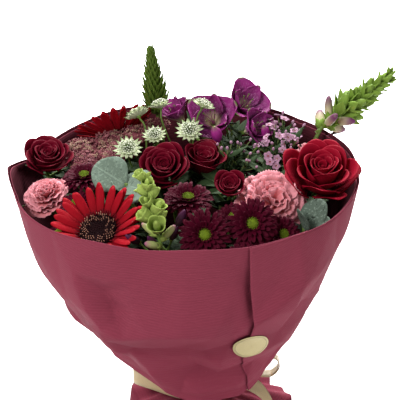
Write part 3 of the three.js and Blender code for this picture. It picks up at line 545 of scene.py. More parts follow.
def set_leaf(skin, grid, at, direction, draw, spin=0, finish=1, thick=None):
    """A leaf whose root is at a point and whose blade runs in a direction, its face turned up."""
    way = Vector(direction).normalized()
    side = UP.cross(way)
    side = side.normalized() if side.length > 1e-3 else Vector((0, 1, 0))
    face = way.cross(side)
    place = Matrix((way, side, face)).transposed().to_4x4()
    place = shift(*at) @ place @ turn("X", spin)
    skin.blade(grid, thick or sizes().leaf_thick / MM, draw.random(), finish, place)


# Where the blooms are. A spot is the middle in millimetres, the lean, the bearing that it leans towards and,
# where it matters, the turn. A stem's place in the tie is its ring and its number in the ring.

# Each gerbera's spot, its radius, the bearing pressed against the paper, its stem's place, and its seed.
GERBERAS = {
    "gerbera_front": (((-118.6, -96.6, 378.5), 30, 240), 53, 228, (3, 12), 3),
    "gerbera_back": (((-104, 118, 390), 48, 112), 47, 112, (2, 4), 5),
}

# Each rose's spot, its radius, whether it is half closed, its stem's place, and its leaves as
# [drop, direction].
ROSES = {
    "rose_center": (((-48, -6, 404), 33, 262), 29, False, (1, 3), (
        (20, (-0.9, 0.3, 0.3)), (34, (0.4, 0.9, 0.3)))),
    "rose_mid": (((-6, 32, 388), 16, 300, 40), 24, True, (0, 0), (
        (16, (0.5, -0.8, 0.35)), (26, (0.8, 0.6, 0.3)))),
    "rose_right": (((122, -20, 405), 22, 285, 10), 40, False, (3, 0), (
        (20, (-0.6, 0.8, 0.2)), (16, (-0.3, -0.8, -0.1)))),
    "rose_left": (((-176, 34, 396), 18, 280, 70), 25, False, (2, 6), ((20, (0.9, 0.5, 0.2)),)),
    "rose_small": (((23, -37, 394), 30, 270), 17, True, (1, 5), (
        (14, (-0.5, 0.9, 0.3)), (24, (0.6, 0.8, 0.2)))),
}
BRIGHT_ROSE = "rose_right"

# Each carnation's spot, its radius and its stem's place.
CARNATIONS = {
    "carnation_left": (((-178, -18, 378), 26, 235), 24, (3, 9)),
    "carnation_right": (((70, -51, 386), 38, 285), 35, (2, 11)),
    "carnation_back": (((119, 44, 390), 24, 20), 25, (3, 1)),
}

# Each spray's fork, its stem's place in the tie, and its heads with their diameters.
DAISIES = {
    "chrysanthemum_left": ((-108, -24, 314), (2, 7), [
        (((-134, -12, 393), 8, 250), 50),
        (((-142, -43, 376), 26, 220), 42),
        (((-159, -66, 352), 36, 205), 42)]),
    "chrysanthemum_front": ((-2, -76, 312), (2, 9), [
        (((-22, -68, 396), 12, 270), 56),
        (((-5, -120, 382), 55, 272), 58),
        (((26, -74, 376), 26, 270), 42)]),
    "chrysanthemum_right": ((46, -92, 306), (2, 10), [
        (((45, -107, 388), 55, 272), 58),
        (((77, -99, 370), 50, 300), 46),
        (((36, -139, 362), 40, 280), 44)]),
}


# Finishes.


def petal_finish(name, rim, root=0.45, edge=1.06, streak=0.12, roughness=0.6, vein=30.0, blush=None):
    """A petal: painted shade at its root, lighter along the rim, with veins. Some lean towards the blush."""
    made = Finish(name, roughness, Specular_IOR_Level=0.07)
    along, across, tone = made.mark()
    side = across.from_middle()
    # Painted shade: the petal is painted darker towards its root, where it lies deep in the bloom.
    body = made.mix(shade(rim, root), rim, along.between(0.0, 0.75))
    if blush:
        body = made.mix(body, blush, tone.between(0.35, 0.75) * (1 - along.between(0.3, 1.1) * 0.6))
    body = made.mix(body, shade(rim, edge), along.between(0.9, 1.0) * 0.8 + side.between(0.9, 1.0) * 0.5)
    threads = made.grain(9, 2, across * vein + tone * 40, along * 2)
    body = made.mix(body, shade(rim, root * 0.8), threads.between(0.45, 0.7) * streak * 3)
    # A higher tone paints the petal darker; the roses raise it on their inner layers as painted shade.
    body = made.mix(body, shade(rim, 0.6), tone * 0.45)
    made.set("Base Color", body)
    made.set("Roughness", made.noise(300) * 0.2 + (roughness - 0.1))
    return made.bump(threads + made.noise(900) * 0.3, 0.36 * MM, 0.6)


def leaf_finish(name, base, vein_tint=1.08, roughness=0.62, pairs=9.0, bloom=0.0):
    """A leaf with a pale midrib and slanting pairs of side veins. Some leaves carry a waxy bloom."""
    made = Finish(name, roughness, Specular_IOR_Level=0.08)
    along, across, tone = made.mark()
    side = across.from_middle()
    rib = 1 - side.between(0.02, 0.07)
    slant = ((along - side * 0.22) * pairs * TAU).sine().between(0.82, 1.0)
    body = made.mix(shade(base, 0.6), shade(base, 1.06), made.noise(60) * 0.6 + tone * 0.4)
    body = made.mix(body, shade(base, vein_tint), rib * 0.75 + slant * 0.25)
    if bloom:
        body = made.mix(body, shade(base, 1.0 + 0.14 * bloom), made.noise(420, 1).between(0.56, 0.64) * bloom)
        body = made.mix(body, shade(base, 0.4), made.noise(260, 1).between(0.64, 0.70) * bloom)
        body = made.mix(body, shade(base, 0.7), side.between(0.8, 1.0) * bloom)
    made.set("Base Color", body)
    made.set("Roughness", made.noise(150) * 0.25 + (roughness - 0.1))
    return made.bump((1 - rib) + (1 - slant) * 0.4 + made.noise(400) * 0.3, 0.3 * MM, 0.7)


def stalk_finish(name, base):
    """A green stalk: fine ribs along it, a paler cut end."""
    made = Finish(name, Specular_IOR_Level=0.2)
    along, across, _ = made.mark()
    body = made.mix(shade(base, 0.7), shade(base, 1.1), made.noise(90))
    body = made.mix((0.42, 0.46, 0.22), body, along.between(0.0, 0.004))
    made.set("Base Color", body)
    return made.bump((across * 9 * TAU).sine() + made.noise(500), 0.12 * MM, 0.6)


def floret_finish(name, low, high, roughness=0.6, fine=500.0, step=(0.2, 0.8)):
    """Small florets, buds or beads: one colour at the root, another at the tip, with a fine grain."""
    made = Finish(name, roughness, Specular_IOR_Level=0.12)
    along, _, tone = made.mark()
    body = made.mix(low, high, along.between(*step))
    body = made.mix(body, shade(low, 0.6), made.noise(120).between(0.45, 0.75) * 0.5)
    body = made.mix(body, shade(high, 1.04), tone.between(0.6, 1.0) * 0.4)
    made.set("Base Color", body)
    return made.bump(made.noise(fine), 0.3 * MM, 0.5)


# The greens that several flowers share, made once for each run.


@functools.cache
def foliage():
    return leaf_finish("foliage", tint("foliage"))


@functools.cache
def stalk():
    return stalk_finish("stalk", tint("stalk"))


# Blooms.

# How far the disc of a gerbera lies below the middle of its open petals.
GERBERA_SINK = 12


def gerbera_rays(skin, place, radius, pressed, draw):
    """Two layers of long ray petals. Those on the pressed bearing stand up against the paper."""
    layers = ((22, 1.0, 0.2, 0), (20, 0.95, 1.8, 0.5))
    for count, size, lift, offset in layers:
        for k in range(count):
            bearing = 360 * (k + offset) / count + draw.uniform(-2, 2)
            squeeze = max(0.0, cos(radians(bearing - pressed))) ** 3
            reach = radius * (size - 0.2 * squeeze) * draw.uniform(0.97, 1.03)
            grid = petal(reach - 0.24 * radius, 0.168 * radius, (0.45, 0.66, 0.86, 0.97, 1, 0.94, 0.74),
                         rise=draw.uniform(26, 32) + 3 * lift, bend=-8 + 40 * squeeze,
                         curl=draw.uniform(-12, 2), cup=-0.08, tip=0.1, channel=0.07, rows=9, columns=6)
            spot = place @ turn("Z", bearing) @ shift(0.3 * radius, 0, lift) @ turn("X", draw.uniform(-9, 9))
            skin.blade(grid, sizes().petal_thick / MM, draw.random(), 0, spot)


def gerbera_center(skin, place, radius, draw):
    """A domed disc of florets: a dark flat middle, tan-tipped ones round it and short petals outside."""
    wide = 0.42 * radius
    base = 4.4
    dark_to, tan_to = 0.42, 0.86
    skin.round([(0, base - 1), (wide * 0.8, base + 0.4), (wide * 0.92, base + 1.4), (wide * 0.5, base + 2.6),
                (wide * 0.22, base + 1.2), (0, base + 0.8)], 28, 0.1, 0, place)
    for share, angle in spiral(300):
        dome = base + 1.4 + 2.2 * sin(pi * share) - 2.2 * max(0, share - 0.7)
        lean = 46 * share ** 2
        spot = place @ turn("Z", degrees(angle)) @ shift(wide * share, 0, dome)
        spot = spot @ turn("Y", lean + draw.uniform(-6, 6))
        if share < dark_to:
            skin.round([(0, -0.6), (0.75, 0.1), (0.62, 1.1), (0, 1.3)], 5, 0.05 + 0.1 * draw.random(), 0,
                       spot)
        elif share < tan_to:
            tall = draw.uniform(2.4, 3.8)
            skin.round([(0, -0.6), (0.55, 0), (0.3, tall * 0.6), (0.62, tall), (0, tall + 0.6)], 5,
                       0.5 + 0.5 * draw.random(), draw.choice((0, 1, 1)), spot)
        else:
            grid = petal(draw.uniform(4.5, 7), 1.4, (0.6, 1, 0.9, 0.3), rise=40, bend=-20, cup=0.2, tip=0.02,
                         rows=3, columns=2)
            skin.blade(grid, FLORET_THICK, draw.random(), 2, spot @ turn("Y", -lean))


class BOUQUET_OT_gerberas(bpy.types.Operator):
    """Two gerberas: ray petals in layers, a disc of florets and a bare hairy stalk."""

    bl_idname = "bouquet.gerberas"
    bl_label = "Gerberas"

    def execute(self, context):
        red = petal_finish("gerbera_petal", tint("gerbera"), root=0.42, edge=1.01, roughness=0.7, vein=10)
        dark = floret_finish("gerbera_floret", (0.004, 0.001, 0.002), (0.016, 0.003, 0.004), 0.8)
        tan = floret_finish("gerbera_anther", (0.03, 0.002, 0.005), (0.44, 0.22, 0.15), 0.6, step=(0.55, 0.8))
        inner = petal_finish("gerbera_inner_petal", (0.14, 0.004, 0.010), root=0.3, edge=1.02)
        for name, (spot, radius, pressed, slot, seed) in GERBERAS.items():
            draw = random.Random(seed)
            place = frame_of(*spot) @ shift(0, 0, -GERBERA_SINK)
            rays = Skin()
            gerbera_rays(rays, place, radius, pressed, draw)
            rays.piece(f"{name}_rays", [red], "petals_red", f"{name}_petals")
            center = Skin()
            gerbera_center(center, place, radius, draw)
            center.piece(f"{name}_florets", [dark, tan, inner], "disc_dark", f"{name}_disc")
            green = Skin()
            line = grow_stem(green, slot, below(spot, 11 + GERBERA_SINK), facing(spot))
            green.round([(0, -14), (0.12 * radius, -9), (0.22 * radius, -6.4), (0.12 * radius, -3.6),
                         (0, -3)], 16, place=place)
            grid = petal(0.3 * radius, 2.6, (0.8, 1, 0.7, 0.1), rise=24, bend=10, rows=4, columns=2)
            green.whorl(grid, 24, place, (0.1 * radius, 0, -8.5), tone=0.6)
            for hair in range(160):
                at = line[draw.randrange(8, len(line))]
                way = (draw.uniform(-1, 1), draw.uniform(-1, 1), draw.uniform(-0.2, 0.6))
                green.round([(0, 1.6), (0.12, 2), (0, 4.2)], 3, place=aimed(at, way))
            green.piece(f"{name}_stalk", [stalk()], "stems_green", f"{name}_stem")
        return {"FINISHED"}


# Rose petals by layer: how many, how far each reaches round the bloom, how pointed its rim is, and its
# outline from root to rim as [distance from the middle, height], in shares of the bloom's radius.
ROSE_LAYERS = (
    (5, 44, 0.26, ((0.10, -0.62), (0.58, -0.54), (0.92, -0.26), (1.08, 0.04), (1.19, 0.20), (1.30, 0.20))),
    (4, 54, 0.22, ((0.10, -0.62), (0.50, -0.50), (0.78, -0.18), (0.92, 0.14), (1.03, 0.34), (1.14, 0.36))),
    (4, 60, 0.15, ((0.09, -0.62), (0.42, -0.46), (0.61, -0.10), (0.71, 0.24), (0.80, 0.45), (0.90, 0.49))),
    (3, 78, 0.11, ((0.08, -0.62), (0.32, -0.42), (0.46, -0.04), (0.50, 0.28), (0.56, 0.50), (0.64, 0.55))),
    (3, 84, 0.08, ((0.07, -0.60), (0.25, -0.38), (0.35, 0.00), (0.37, 0.30), (0.41, 0.48), (0.47, 0.53))),
    (3, 88, 0.05, ((0.06, -0.55), (0.19, -0.32), (0.27, 0.02), (0.28, 0.30), (0.31, 0.45), (0.35, 0.48))),
    (2, 120, 0.04, ((0.05, -0.50), (0.14, -0.26), (0.20, 0.04), (0.205, 0.28), (0.22, 0.40), (0.25, 0.42))),
    (2, 124, 0.02, ((0.04, -0.45), (0.09, -0.20), (0.13, 0.06), (0.13, 0.26), (0.14, 0.35), (0.16, 0.37))),
)


# How far below the middle of a rose its petals join, as a share of its radius, and the length of a leaflet.
ROSE_DEPTH = 0.62
ROSE_LEAFLET = 34


def evened(values, reach=4):
    """The values, each averaged with its neighbours."""
    count = 2 * reach + 1
    return np.convolve(np.pad(values, reach, mode="reflect", reflect_type="odd"), np.ones(count) / count,
                       "valid")


def rose_petal(outline, reach, point, scale, draw, rows=11, columns=14):
    """A petal that stands round the bloom, one side tucked under its neighbour, its rim rolled to a point."""
    along = np.linspace(0, 1, rows + 1)[:, None]
    side = np.linspace(-1, 1, columns + 1)[None, :]
    here = along * (1 - (1.5 * point + 0.10) * np.abs(side) ** 1.35 * along)
    marks = np.linspace(0, 1, len(outline))
    fine = np.linspace(0, 1, 41)
    out, high = (evened(np.interp(fine, marks, values)) for values in zip(*outline))
    wide = np.interp(along, [0, 0.25, 0.55, 0.85, 1], [0.34, 0.7, 0.95, 1.0, 0.86])
    turned = radians(reach) * side * wide
    wave = draw.uniform(0, TAU)
    radius = np.interp(here, fine, out) * (1 + 0.09 * side) + 0.03 * np.sin(2.6 * side + wave) * along
    fold = 0.09 * draw.uniform(0.3, 1.5) * along ** 4 * np.abs(side) ** 1.4
    slope = draw.uniform(-0.03, 0.12) * side * along
    height = np.interp(here, fine, high) - fold + slope + 0.035 * np.sin(3.1 * side + 2 * wave) * along ** 2
    radius = radius + 0.6 * fold
    return scale * np.stack([radius * np.cos(turned), radius * np.sin(turned), height], -1)


def rose_bloom(skin, place, radius, closed, draw, pointed):
    """Broad petals in a spiral, each rolled back at its rim, round a tight heart."""
    layers = ROSE_LAYERS[2:] if closed else ROSE_LAYERS
    scale = 1.12 * radius if closed else 0.87 * radius
    low = shift(0, 0, ROSE_DEPTH * (scale - radius))
    bearing = draw.uniform(0, 360)
    for layer, (count, reach, point, outline) in enumerate(layers):
        bearing += 180 / count
        for k in range(count):
            bearing += 360 / count
            turned, grown = reach * draw.uniform(0.92, 1.08), scale * draw.uniform(0.97, 1.03)
            grid = rose_petal(outline, turned, point * pointed, grown, draw)
            spot = place @ low @ turn("Z", bearing + draw.uniform(-12, 12)) @ turn("Y", draw.uniform(-5, 5))
            # Painted shade: inner layers take a higher tone, which paints them darker, deep in the bloom.
            tone = min(0.9, 0.1 * layer + 0.25 * draw.random())
            skin.blade(grid, 0.8 * sizes().petal_thick / MM, tone, 0, spot)
    turns = np.linspace(0, 2.2 * TAU, 44)[None, :]
    rise = np.linspace(0, 1, 7)[:, None]
    out = (0.02 + 0.03 * turns / TAU) * scale * (0.8 + 0.4 * rise)
    high = (-0.3 + 0.58 * rise - 0.02 * turns / TAU) * scale
    heart = np.stack([out * np.cos(turns), out * np.sin(turns), high], -1)
    # Painted shade: the heart takes the darkest tone.
    skin.blade(heart, 0.4, 0.9, 0, place @ low)


def rose_green(skin, spot, radius, slot, leaves, draw):
    """The stem, the calyx with its five sepals, and leaves of five leaflets."""
    place = frame_of(*spot)
    base = -ROSE_DEPTH * radius
    line = grow_stem(skin, slot, below(spot, ROSE_DEPTH * radius + 8), facing(spot))
    leafy(skin, line, 318, 366, 6, 36, draw, narrow=0.5)
    skin.round([(0, base - 13), (2.6, base - 10), (4.4, base - 5), (3.6, base - 0.6), (0, base - 0.4)], 12,
               place=place)
    sepal = petal(0.62 * radius, 0.2 * radius, (0.8, 1, 0.6, 0.08), rise=10, bend=34, curl=-20, cup=0.3,
                  rows=6)
    skin.whorl(sepal, 5, place, (2.6, 0, base - 4), 0.6, finish=1)
    for down, way in leaves:
        rose_leaf(skin, below(spot, ROSE_DEPTH * radius + down), Vector(way).normalized(), draw)


def rose_leaf(skin, at, way, draw):
    """Five leaflets on a stalk: one at its tip and a pair on either side."""
    size = ROSE_LEAFLET
    side = way.cross(UP).normalized()
    tip = at + way * size * 0.75
    skin.tube(smooth_line([at, raised(at + way * size * 0.4, 2), tip], 3), [1.2] * 5 + [0.8] * 2, 6)
    plan = [(1.0, way, 1.0), (0.8, way + side, 0.8), (0.8, way - side, 0.8), (0.35, way + 1.4 * side, 0.66),
            (0.35, way - 1.4 * side, 0.66)]
    for share, toward, grown in plan:
        grid = petal(size * grown, 0.62 * size * grown, (0.1, 0.62, 0.92, 1, 0.9, 0.62, 0.08), bend=-24,
                     cup=0.3, tip=0.02, frill=0.7, waves=9, rows=10, columns=6)
        set_leaf(skin, grid, at.lerp(tip, share), raised(toward, draw.uniform(-0.1, 0.15)), draw)


class BOUQUET_OT_roses(bpy.types.Operator):
    """Five roses: spirals of rolled petals, calyx, stem and leaves."""

    bl_idname = "bouquet.roses"
    bl_label = "Roses"

    def execute(self, context):
        bright = petal_finish("rose_bright", tint("rose_red"), root=0.22, edge=1.01, streak=0.06, vein=26)
        dark = petal_finish("rose_dark", tint("rose_dark"), root=0.4, edge=1.012, streak=0.06, vein=26)
        for name, draw, (spot, radius, closed, slot, leaves) in seeded(ROSES, 11):
            bloom = Skin()
            if name == BRIGHT_ROSE:
                rose_bloom(bloom, frame_of(*spot), radius, closed, draw, 1.8)
                bloom.piece(f"{name}_petals", [bright], "petals_rose_red", f"{name}_bloom")
            else:
                rose_bloom(bloom, frame_of(*spot), min(radius, 26), closed, draw, 1.1)
                bloom.piece(f"{name}_petals", [dark], "petals_dark_red", f"{name}_bloom")
            green = Skin()
            rose_green(green, spot, radius, slot, leaves, draw)
            green.piece(f"{name}_green", [stalk(), foliage()], "leaves_dark_green", f"{name}_stem")
        return {"FINISHED"}


def carnation_bloom(skin, place, radius, draw):
    """Fans of thin petals in tiers, smooth in the middle, waved and toothed at the edge."""
    # For each tier: how many petals, their length and width, their rise and bend, and how deep they root.
    tiers = ((7, 1.12, 1.4, 2, 22, 0.56), (7, 1.02, 1.35, 16, 18, 0.50), (7, 0.94, 1.25, 28, 16, 0.46),
             (6, 0.86, 1.15, 40, 12, 0.42), (5, 0.76, 1.0, 53, 8, 0.36), (4, 0.66, 0.9, 66, 6, 0.30),
             (3, 0.6, 0.8, 80, 0, 0.26))
    columns = 28
    for tier, (count, length, width, rise, bend, low) in enumerate(tiers):
        for k in range(count):
            grid = petal(length * radius * draw.uniform(0.9, 1.06), width * radius * 0.8,
                         (0.12, 0.26, 0.54, 0.86, 1), rise=rise + draw.uniform(-9, 9), bend=bend,
                         curl=draw.uniform(-50, 14), cup=draw.uniform(-0.1, 0.3), tip=0.24,
                         frill=0.07 * radius, waves=draw.uniform(2.4, 4), phase=draw.uniform(0, 6),
                         columns=columns, edged=3.2)
            teeth = np.array([(j % 2) * draw.uniform(0.4, 1) for j in range(columns + 1)])
            grid[-1] = grid[-1] + (grid[-1] - grid[-2]) * (0.34 * teeth)[:, None]
            spot = place @ turn("Z", 360 * (k + 0.5 * tier) / count + draw.uniform(-12, 12))
            spot = spot @ shift(0.03 * radius, 0, -low * radius) @ turn("X", draw.uniform(-16, 16))
            skin.blade(grid, 0.6 * sizes().petal_thick / MM, draw.random(), 0, spot)


class BOUQUET_OT_carnations(bpy.types.Operator):
    """Three carnations: tiers of fringed petals over a long calyx."""

    bl_idname = "bouquet.carnations"
    bl_label = "Carnations"

    def execute(self, context):
        pink = petal_finish("carnation_petal", tint("carnation"), root=0.62, edge=1.07, streak=0.04, vein=40,
                            blush=(0.76, 0.17, 0.17))
        for name, draw, (spot, radius, slot) in seeded(CARNATIONS, 21):
            place = frame_of(*spot)
            bloom = Skin()
            carnation_bloom(bloom, place, radius, draw)
            bloom.piece(f"{name}_petals", [pink], "petals_pink", f"{name}_bloom")
            green = Skin()
            grow_stem(green, slot, below(spot, 0.72 * radius + 18), facing(spot))
            base = -0.7 * radius
            green.round([(0, base - 23), (2.6, base - 21), (5.2, base - 13), (5.8, base - 4), (4.9, base),
                         (0, base)], 14, place=place)
            grid = petal(9, 6, (0.9, 1, 0.7, 0.1), rise=74, bend=-12, cup=0.4, rows=5)
            green.whorl(grid, 5, place, (4.8, 0, base - 5))
            for leaf in range(4):
                grid = lance(draw.uniform(40, 55), 4.5, 50)
                way = facing(spot) + Vector((draw.uniform(-1, 1), draw.uniform(-1, 1), 0.2)) * 0.7
                set_leaf(green, grid, below(spot, 0.72 * radius + 24), way, draw, finish=0)
            green.piece(f"{name}_stalk", [stalk()], "stems_green", f"{name}_stem")
        return {"FINISHED"}


def daisy_petals(skin, place, radius, draw):
    """Five rings of narrow petals with round ends; the inner ones are shorter and stand up round the eye."""
    # For each ring: how many petals, their reach and width, and their rise, bend and curl.
    rings = ((22, 1.0, 0.19, -2, 2, -14), (21, 0.93, 0.185, 9, 4, -10), (18, 0.8, 0.17, 22, 6, -4),
             (15, 0.62, 0.15, 38, 8, 6), (13, 0.45, 0.13, 56, 6, 14))
    root = 0.16
    for ring, (count, reach, width, rise, bend, curl) in enumerate(rings):
        for k in range(count):
            bearing = 360 * (k + 0.5 * (ring % 2)) / count + draw.uniform(-4, 4)
            grid = petal((reach - root) * radius * draw.uniform(0.93, 1.02), width * radius,
                         (0.5, 0.78, 0.96, 1, 0.94, 0.7), rise=rise + draw.uniform(-4, 4), bend=bend,
                         curl=curl + draw.uniform(-10, 10), cup=0.36, tip=0.1, rows=7)
            spot = place @ turn("Z", bearing) @ shift(root * radius, 0, 0.5 * ring - 1.2)
            spot = spot @ turn("X", draw.uniform(-12, 12))
            skin.blade(grid, 0.8 * sizes().petal_thick / MM, draw.random(), 0, spot)


def daisy_eye(skin, place, radius, draw):
    """The green button of tiny florets, on the neck that carries the petals."""
    wide = 0.205 * radius
    skin.round([(0, -9), (3, -6), (4.2, -3.4), (3.6, -1.2), (3.4, 1.4), (wide, 2.8), (wide * 0.75, 4.6),
                (wide * 0.3, 5.2), (0, 4.9)], 14, 0.3, 2, place)
    for share, angle in spiral(64):
        dome = 4.9 + 0.5 * cos(share * 1.5) - 2.2 * share ** 3
        spot = place @ turn("Z", degrees(angle)) @ shift(wide * 1.04 * share, 0, dome)
        spot = spot @ turn("Y", 50 * share ** 2)
        tall = 0.7 + 0.8 * share * draw.uniform(0.7, 1.2)
        skin.round([(0, -0.5), (0.4, 0), (0.34, tall), (0.5, tall + 0.3), (0, tall + 0.7)], 5, share, 2, spot)


class BOUQUET_OT_chrysanthemums(bpy.types.Operator):
    """Nine spray chrysanthemums on three branched stems, each with a green eye."""

    bl_idname = "bouquet.chrysanthemums"
    bl_label = "Spray chrysanthemums"

    def execute(self, context):
        wine = petal_finish("chrysanthemum_petal", tint("chrysanthemum"), root=0.4, edge=1.045, streak=0.08,
                            vein=12)
        eye = floret_finish("chrysanthemum_eye", shade(tint("eye"), 0.3), tint("eye"), 0.6, step=(0.3, 0.9))
        for name, draw, (fork, slot, heads) in seeded(DAISIES, 31):
            green = Skin()
            line = grow_stem(green, slot, fork, raised(fork, -TIE_Z))
            leafy(green, line, 270, 312, 5, 34, draw)
            for number, (spot, diameter) in enumerate(heads, 1):
                place = frame_of(*spot)
                bloom = Skin()
                daisy_petals(bloom, place, diameter / 2, draw)
                bloom.piece(f"{name}_petals_{number}", [wine], "petals_wine", f"{name}_bloom_{number}")
                daisy_eye(green, place, diameter / 2, draw)
                low = below(spot, 20).lerp(Vector(fork), 0.3)
                branch = smooth_line([raised(fork, -3), low, below(spot, 7)], 5)
                green.tube(branch, 1.4, 7)
                grid = petal(0.3 * diameter, 3.2, (0.8, 1, 0.7, 0.2), rise=8, bend=16, rows=4, columns=2)
                green.whorl(grid, 16, place, (2.4, 0, -4.6), tone=0.4, finish=1)
                for at in branch[1:7]:
                    way = around(draw.uniform(0, TAU), draw.uniform(0.3, 1.0))
                    grid = petal(draw.uniform(26, 36), 17, (0.12, 0.45, 0.9, 0.7, 1, 0.62, 0.75, 0.12),
                                 bend=-20, cup=0.25, tip=0.04, frill=0.8, waves=7, rows=10)
                    set_leaf(green, grid, at, way, draw)
            green.piece(f"{name}_green", [stalk(), foliage(), eye], "stems_green", f"{name}_stem")
        return {"FINISHED"}


# Sprays, spikes and foliage.

# Where the dark buds round the foot of the front snapdragon start, and each bud as [place, length].
FOOT_ROOT = Vector((-48, -116, 356))
FOOT_BUDS = (((-57, -126, 374), 15), ((-73, -118, 372), 15), ((-34, -106, 384), 17), ((-40, -114, 373), 14),
             ((-64, -106, 382), 13))


def snapdragon(skin, base, tip, count, size, shrink, draw, first, open_cup):
    """Buds in a spiral that shrink towards the tip, each in a cup of broad sepals. The first are coloured."""
    base, tip = Vector(base), Vector(tip)
    axis = tip - base
    direction = axis.normalized()
    side = UP.cross(direction).normalized()
    other = direction.cross(side)
    skin.tube(smooth_line([base - direction * 6, base + axis * 0.5, tip], 4),
              [2.1, 2, 2, 1.9, 1.8, 1.6, 1.4, 1.2, 1.0], 8)
    for k in range(count):
        share = k / (count - 1)
        coloured = share < first
        angle = k * radians(LEAF_TURN)
        out = side * cos(angle) + other * sin(angle)
        grown = size * (1 + (shrink - 1) * share) * draw.uniform(0.9, 1.08)
        way = (out + direction * (0.6 + 1.5 * share)).normalized()
        place = aimed(base + axis * 0.95 * share, way) @ turn("Z", draw.uniform(0, 360))
        wide = 0.17 * grown
        if coloured:
            skin.tube([(0, 0, -1), (0, 0, 0.3 * grown)], 0.9, 6, place=place)
        skin.round([(0, 0.12 * grown), (0.55 * wide, 0.2 * grown), (0.98 * wide, 0.42 * grown),
                    (wide, 0.62 * grown), (0.8 * wide, 0.84 * grown), (0.4 * wide, 0.98 * grown),
                    (0, 1.02 * grown)], 12, 0.2 + 0.6 * draw.random(), 1 if coloured else 2, place,
                   ripple=0.09, lobes=2)
        sepals = 5 if coloured else 4
        for sepal in range(sepals):
            reach = (0.42 if coloured else 0.95) * grown
            outline = (0.6, 1, 0.95, 0.7, 0.1) if coloured or open_cup < 0.6 else (0.5, 0.85, 1, 1, 0.8)
            grid = petal(reach, (0.24 if coloured else 0.56 * open_cup + 0.2) * grown, outline, rise=46,
                         bend=46, curl=draw.uniform(-60, 10) * open_cup, cup=0.5, tip=0.14 * open_cup, rows=7,
                         columns=6)
            spot = place @ turn("Z", 360 * sepal / sepals) @ shift(0.8, 0, 0.04 * grown)
            skin.blade(grid, BRACT_THICK, draw.random(), 3, spot)


def foot_bud(skin, at, size):
    """A dark bud in four sepals, on a stalk of its own."""
    at = Vector(at)
    skin.tube(smooth_line([FOOT_ROOT, raised(FOOT_ROOT.lerp(at, 0.6), -5), at], 3), 0.9, 6)
    place = aimed(at, at - FOOT_ROOT)
    skin.round([(0, -2), (0.2 * size, 1), (0.29 * size, 0.4 * size), (0.24 * size, 0.8 * size),
                (0.1 * size, 1.1 * size), (0, 1.2 * size)], 10, 0.5, 4, place, 0.1, 3)
    grid = petal(0.6 * size, 0.3 * size, (0.8, 1, 0.7, 0.1), rise=60, bend=24, cup=0.5, rows=5)
    skin.whorl(grid, 4, place, (0.8, 0, -1.5), BRACT_THICK, 0.3, 3)


class BOUQUET_OT_snapdragons(bpy.types.Operator):
    """Two snapdragon spikes in bud, coloured only at the foot."""

    bl_idname = "bouquet.snapdragons"
    bl_label = "Snapdragons"

    def execute(self, context):
        green = tint("snapdragon")
        light = (0.36, 0.47, 0.105)
        purple = floret_finish("snapdragon_flower", (0.46, 0.42, 0.24), (0.14, 0.030, 0.10), 0.5, 260,
                               step=(0.3, 0.75))
        blush = floret_finish("snapdragon_blush", (0.40, 0.46, 0.16), (0.36, 0.10, 0.20), 0.5, 260,
                              step=(0.5, 0.95))
        wine = floret_finish("snapdragon_wine", (0.05, 0.02, 0.03), (0.060, 0.008, 0.040), 0.5, 260)
        # The spike's base and tip, how many buds, their size and how far it shrinks, the stem's place and
        # direction, the foot's finish, the buds' colour, the share in colour, and how open the cups are.
        plan = {
            "snapdragon_front": ((-50, -128, 372), (-68, -112, 446), 14, 25, 0.55, (2, 8), (-0.22, -0.3, 1),
                                 blush, light, 0.2, 0.8),
            "snapdragon_right": ((126, 86, 400), (206, 124, 448), 25, 33, 0.48, (3, 3), (0.2, 0.15, 0.97),
                                 purple, green, 0.2, 0.4),
        }
        for name, draw, row in seeded(plan, 41):
            base, tip, count, size, shrink, slot, way, foot, shell, first, open_cup = row
            bud = floret_finish(f"{name}_bud", shade(shell, 0.5), shell, 0.5, 260)
            sepal = petal_finish(f"{name}_sepal", shell, root=0.6, edge=1.06, vein=8)
            spike = Skin()
            grow_stem(spike, slot, base, way)
            snapdragon(spike, base, tip, count, size, shrink, draw, first, open_cup)
            for at, long in (FOOT_BUDS if name == "snapdragon_front" else ()):
                foot_bud(spike, at, long)
            spike.piece(f"{name}_spike", [stalk(), foot, bud, sepal, wine], "buds_green", name)
        return {"FINISHED"}


class BOUQUET_OT_green_spike(bpy.types.Operator):
    """A tall spike of narrow upright bracts."""

    bl_idname = "bouquet.green_spike"
    bl_label = "Green spike"

    def execute(self, context):
        draw = random.Random(51)
        bract = leaf_finish("spike_bract", (0.12, 0.195, 0.026), 1.03, 0.6, pairs=3)
        skin = Skin()
        base, tip = Vector((-57, 128, 402)), Vector((-64, 130, 488))
        grow_stem(skin, (3, 6), raised(base, 3), (-0.05, 0, 1))
        skin.tube(smooth_line([base, base.lerp(tip, 0.5), raised(tip, -4)], 5), np.linspace(6.5, 0.8, 11), 10)
        count = 150
        for k in range(count):
            share = k / count
            angle = k * GOLDEN
            at = base.lerp(tip, 0.01 + 0.8 * share) + around(angle) * 6.4 * (1 - share) ** 0.8
            way = around(angle) * (0.42 - 0.3 * share) + Vector((-0.06, 0, 1))
            grid = petal(draw.uniform(20, 26) * (1 - 0.35 * share), 5.6 - 2.0 * share,
                         (0.7, 1, 0.9, 0.6, 0.06), bend=18, curl=-20, cup=0.5, tip=0.02, rows=6)
            place = aimed(at, way) @ turn("Z", degrees(angle)) @ turn("Y", -90) @ turn("X", 180)
            skin.blade(grid, 0.55, draw.random(), 1, place)
        skin.piece("green_spike_bracts", [stalk(), bract], "bracts_green", "green_spike")
        return {"FINISHED"}


LILY_FORK = Vector((30, 78, 352))
LILY_BUDS = (((12, 64, 396), 22), ((66, 74, 396), 17), ((20, 120, 402), 19), ((-10, 84, 398), 18))

# Each bloom with its diameter and how far it has opened.
LILY_BLOOMS = (
    (((6, 96, 408), 40, 262, 20), 56, 0.80),
    (((40, 114, 416), 40, 310), 54, 0.75),
    (((50, 84, 402), 55, 320, 40), 46, 0.70),
    (((-32, 104, 410), 30, 190), 40, 0.60),
)


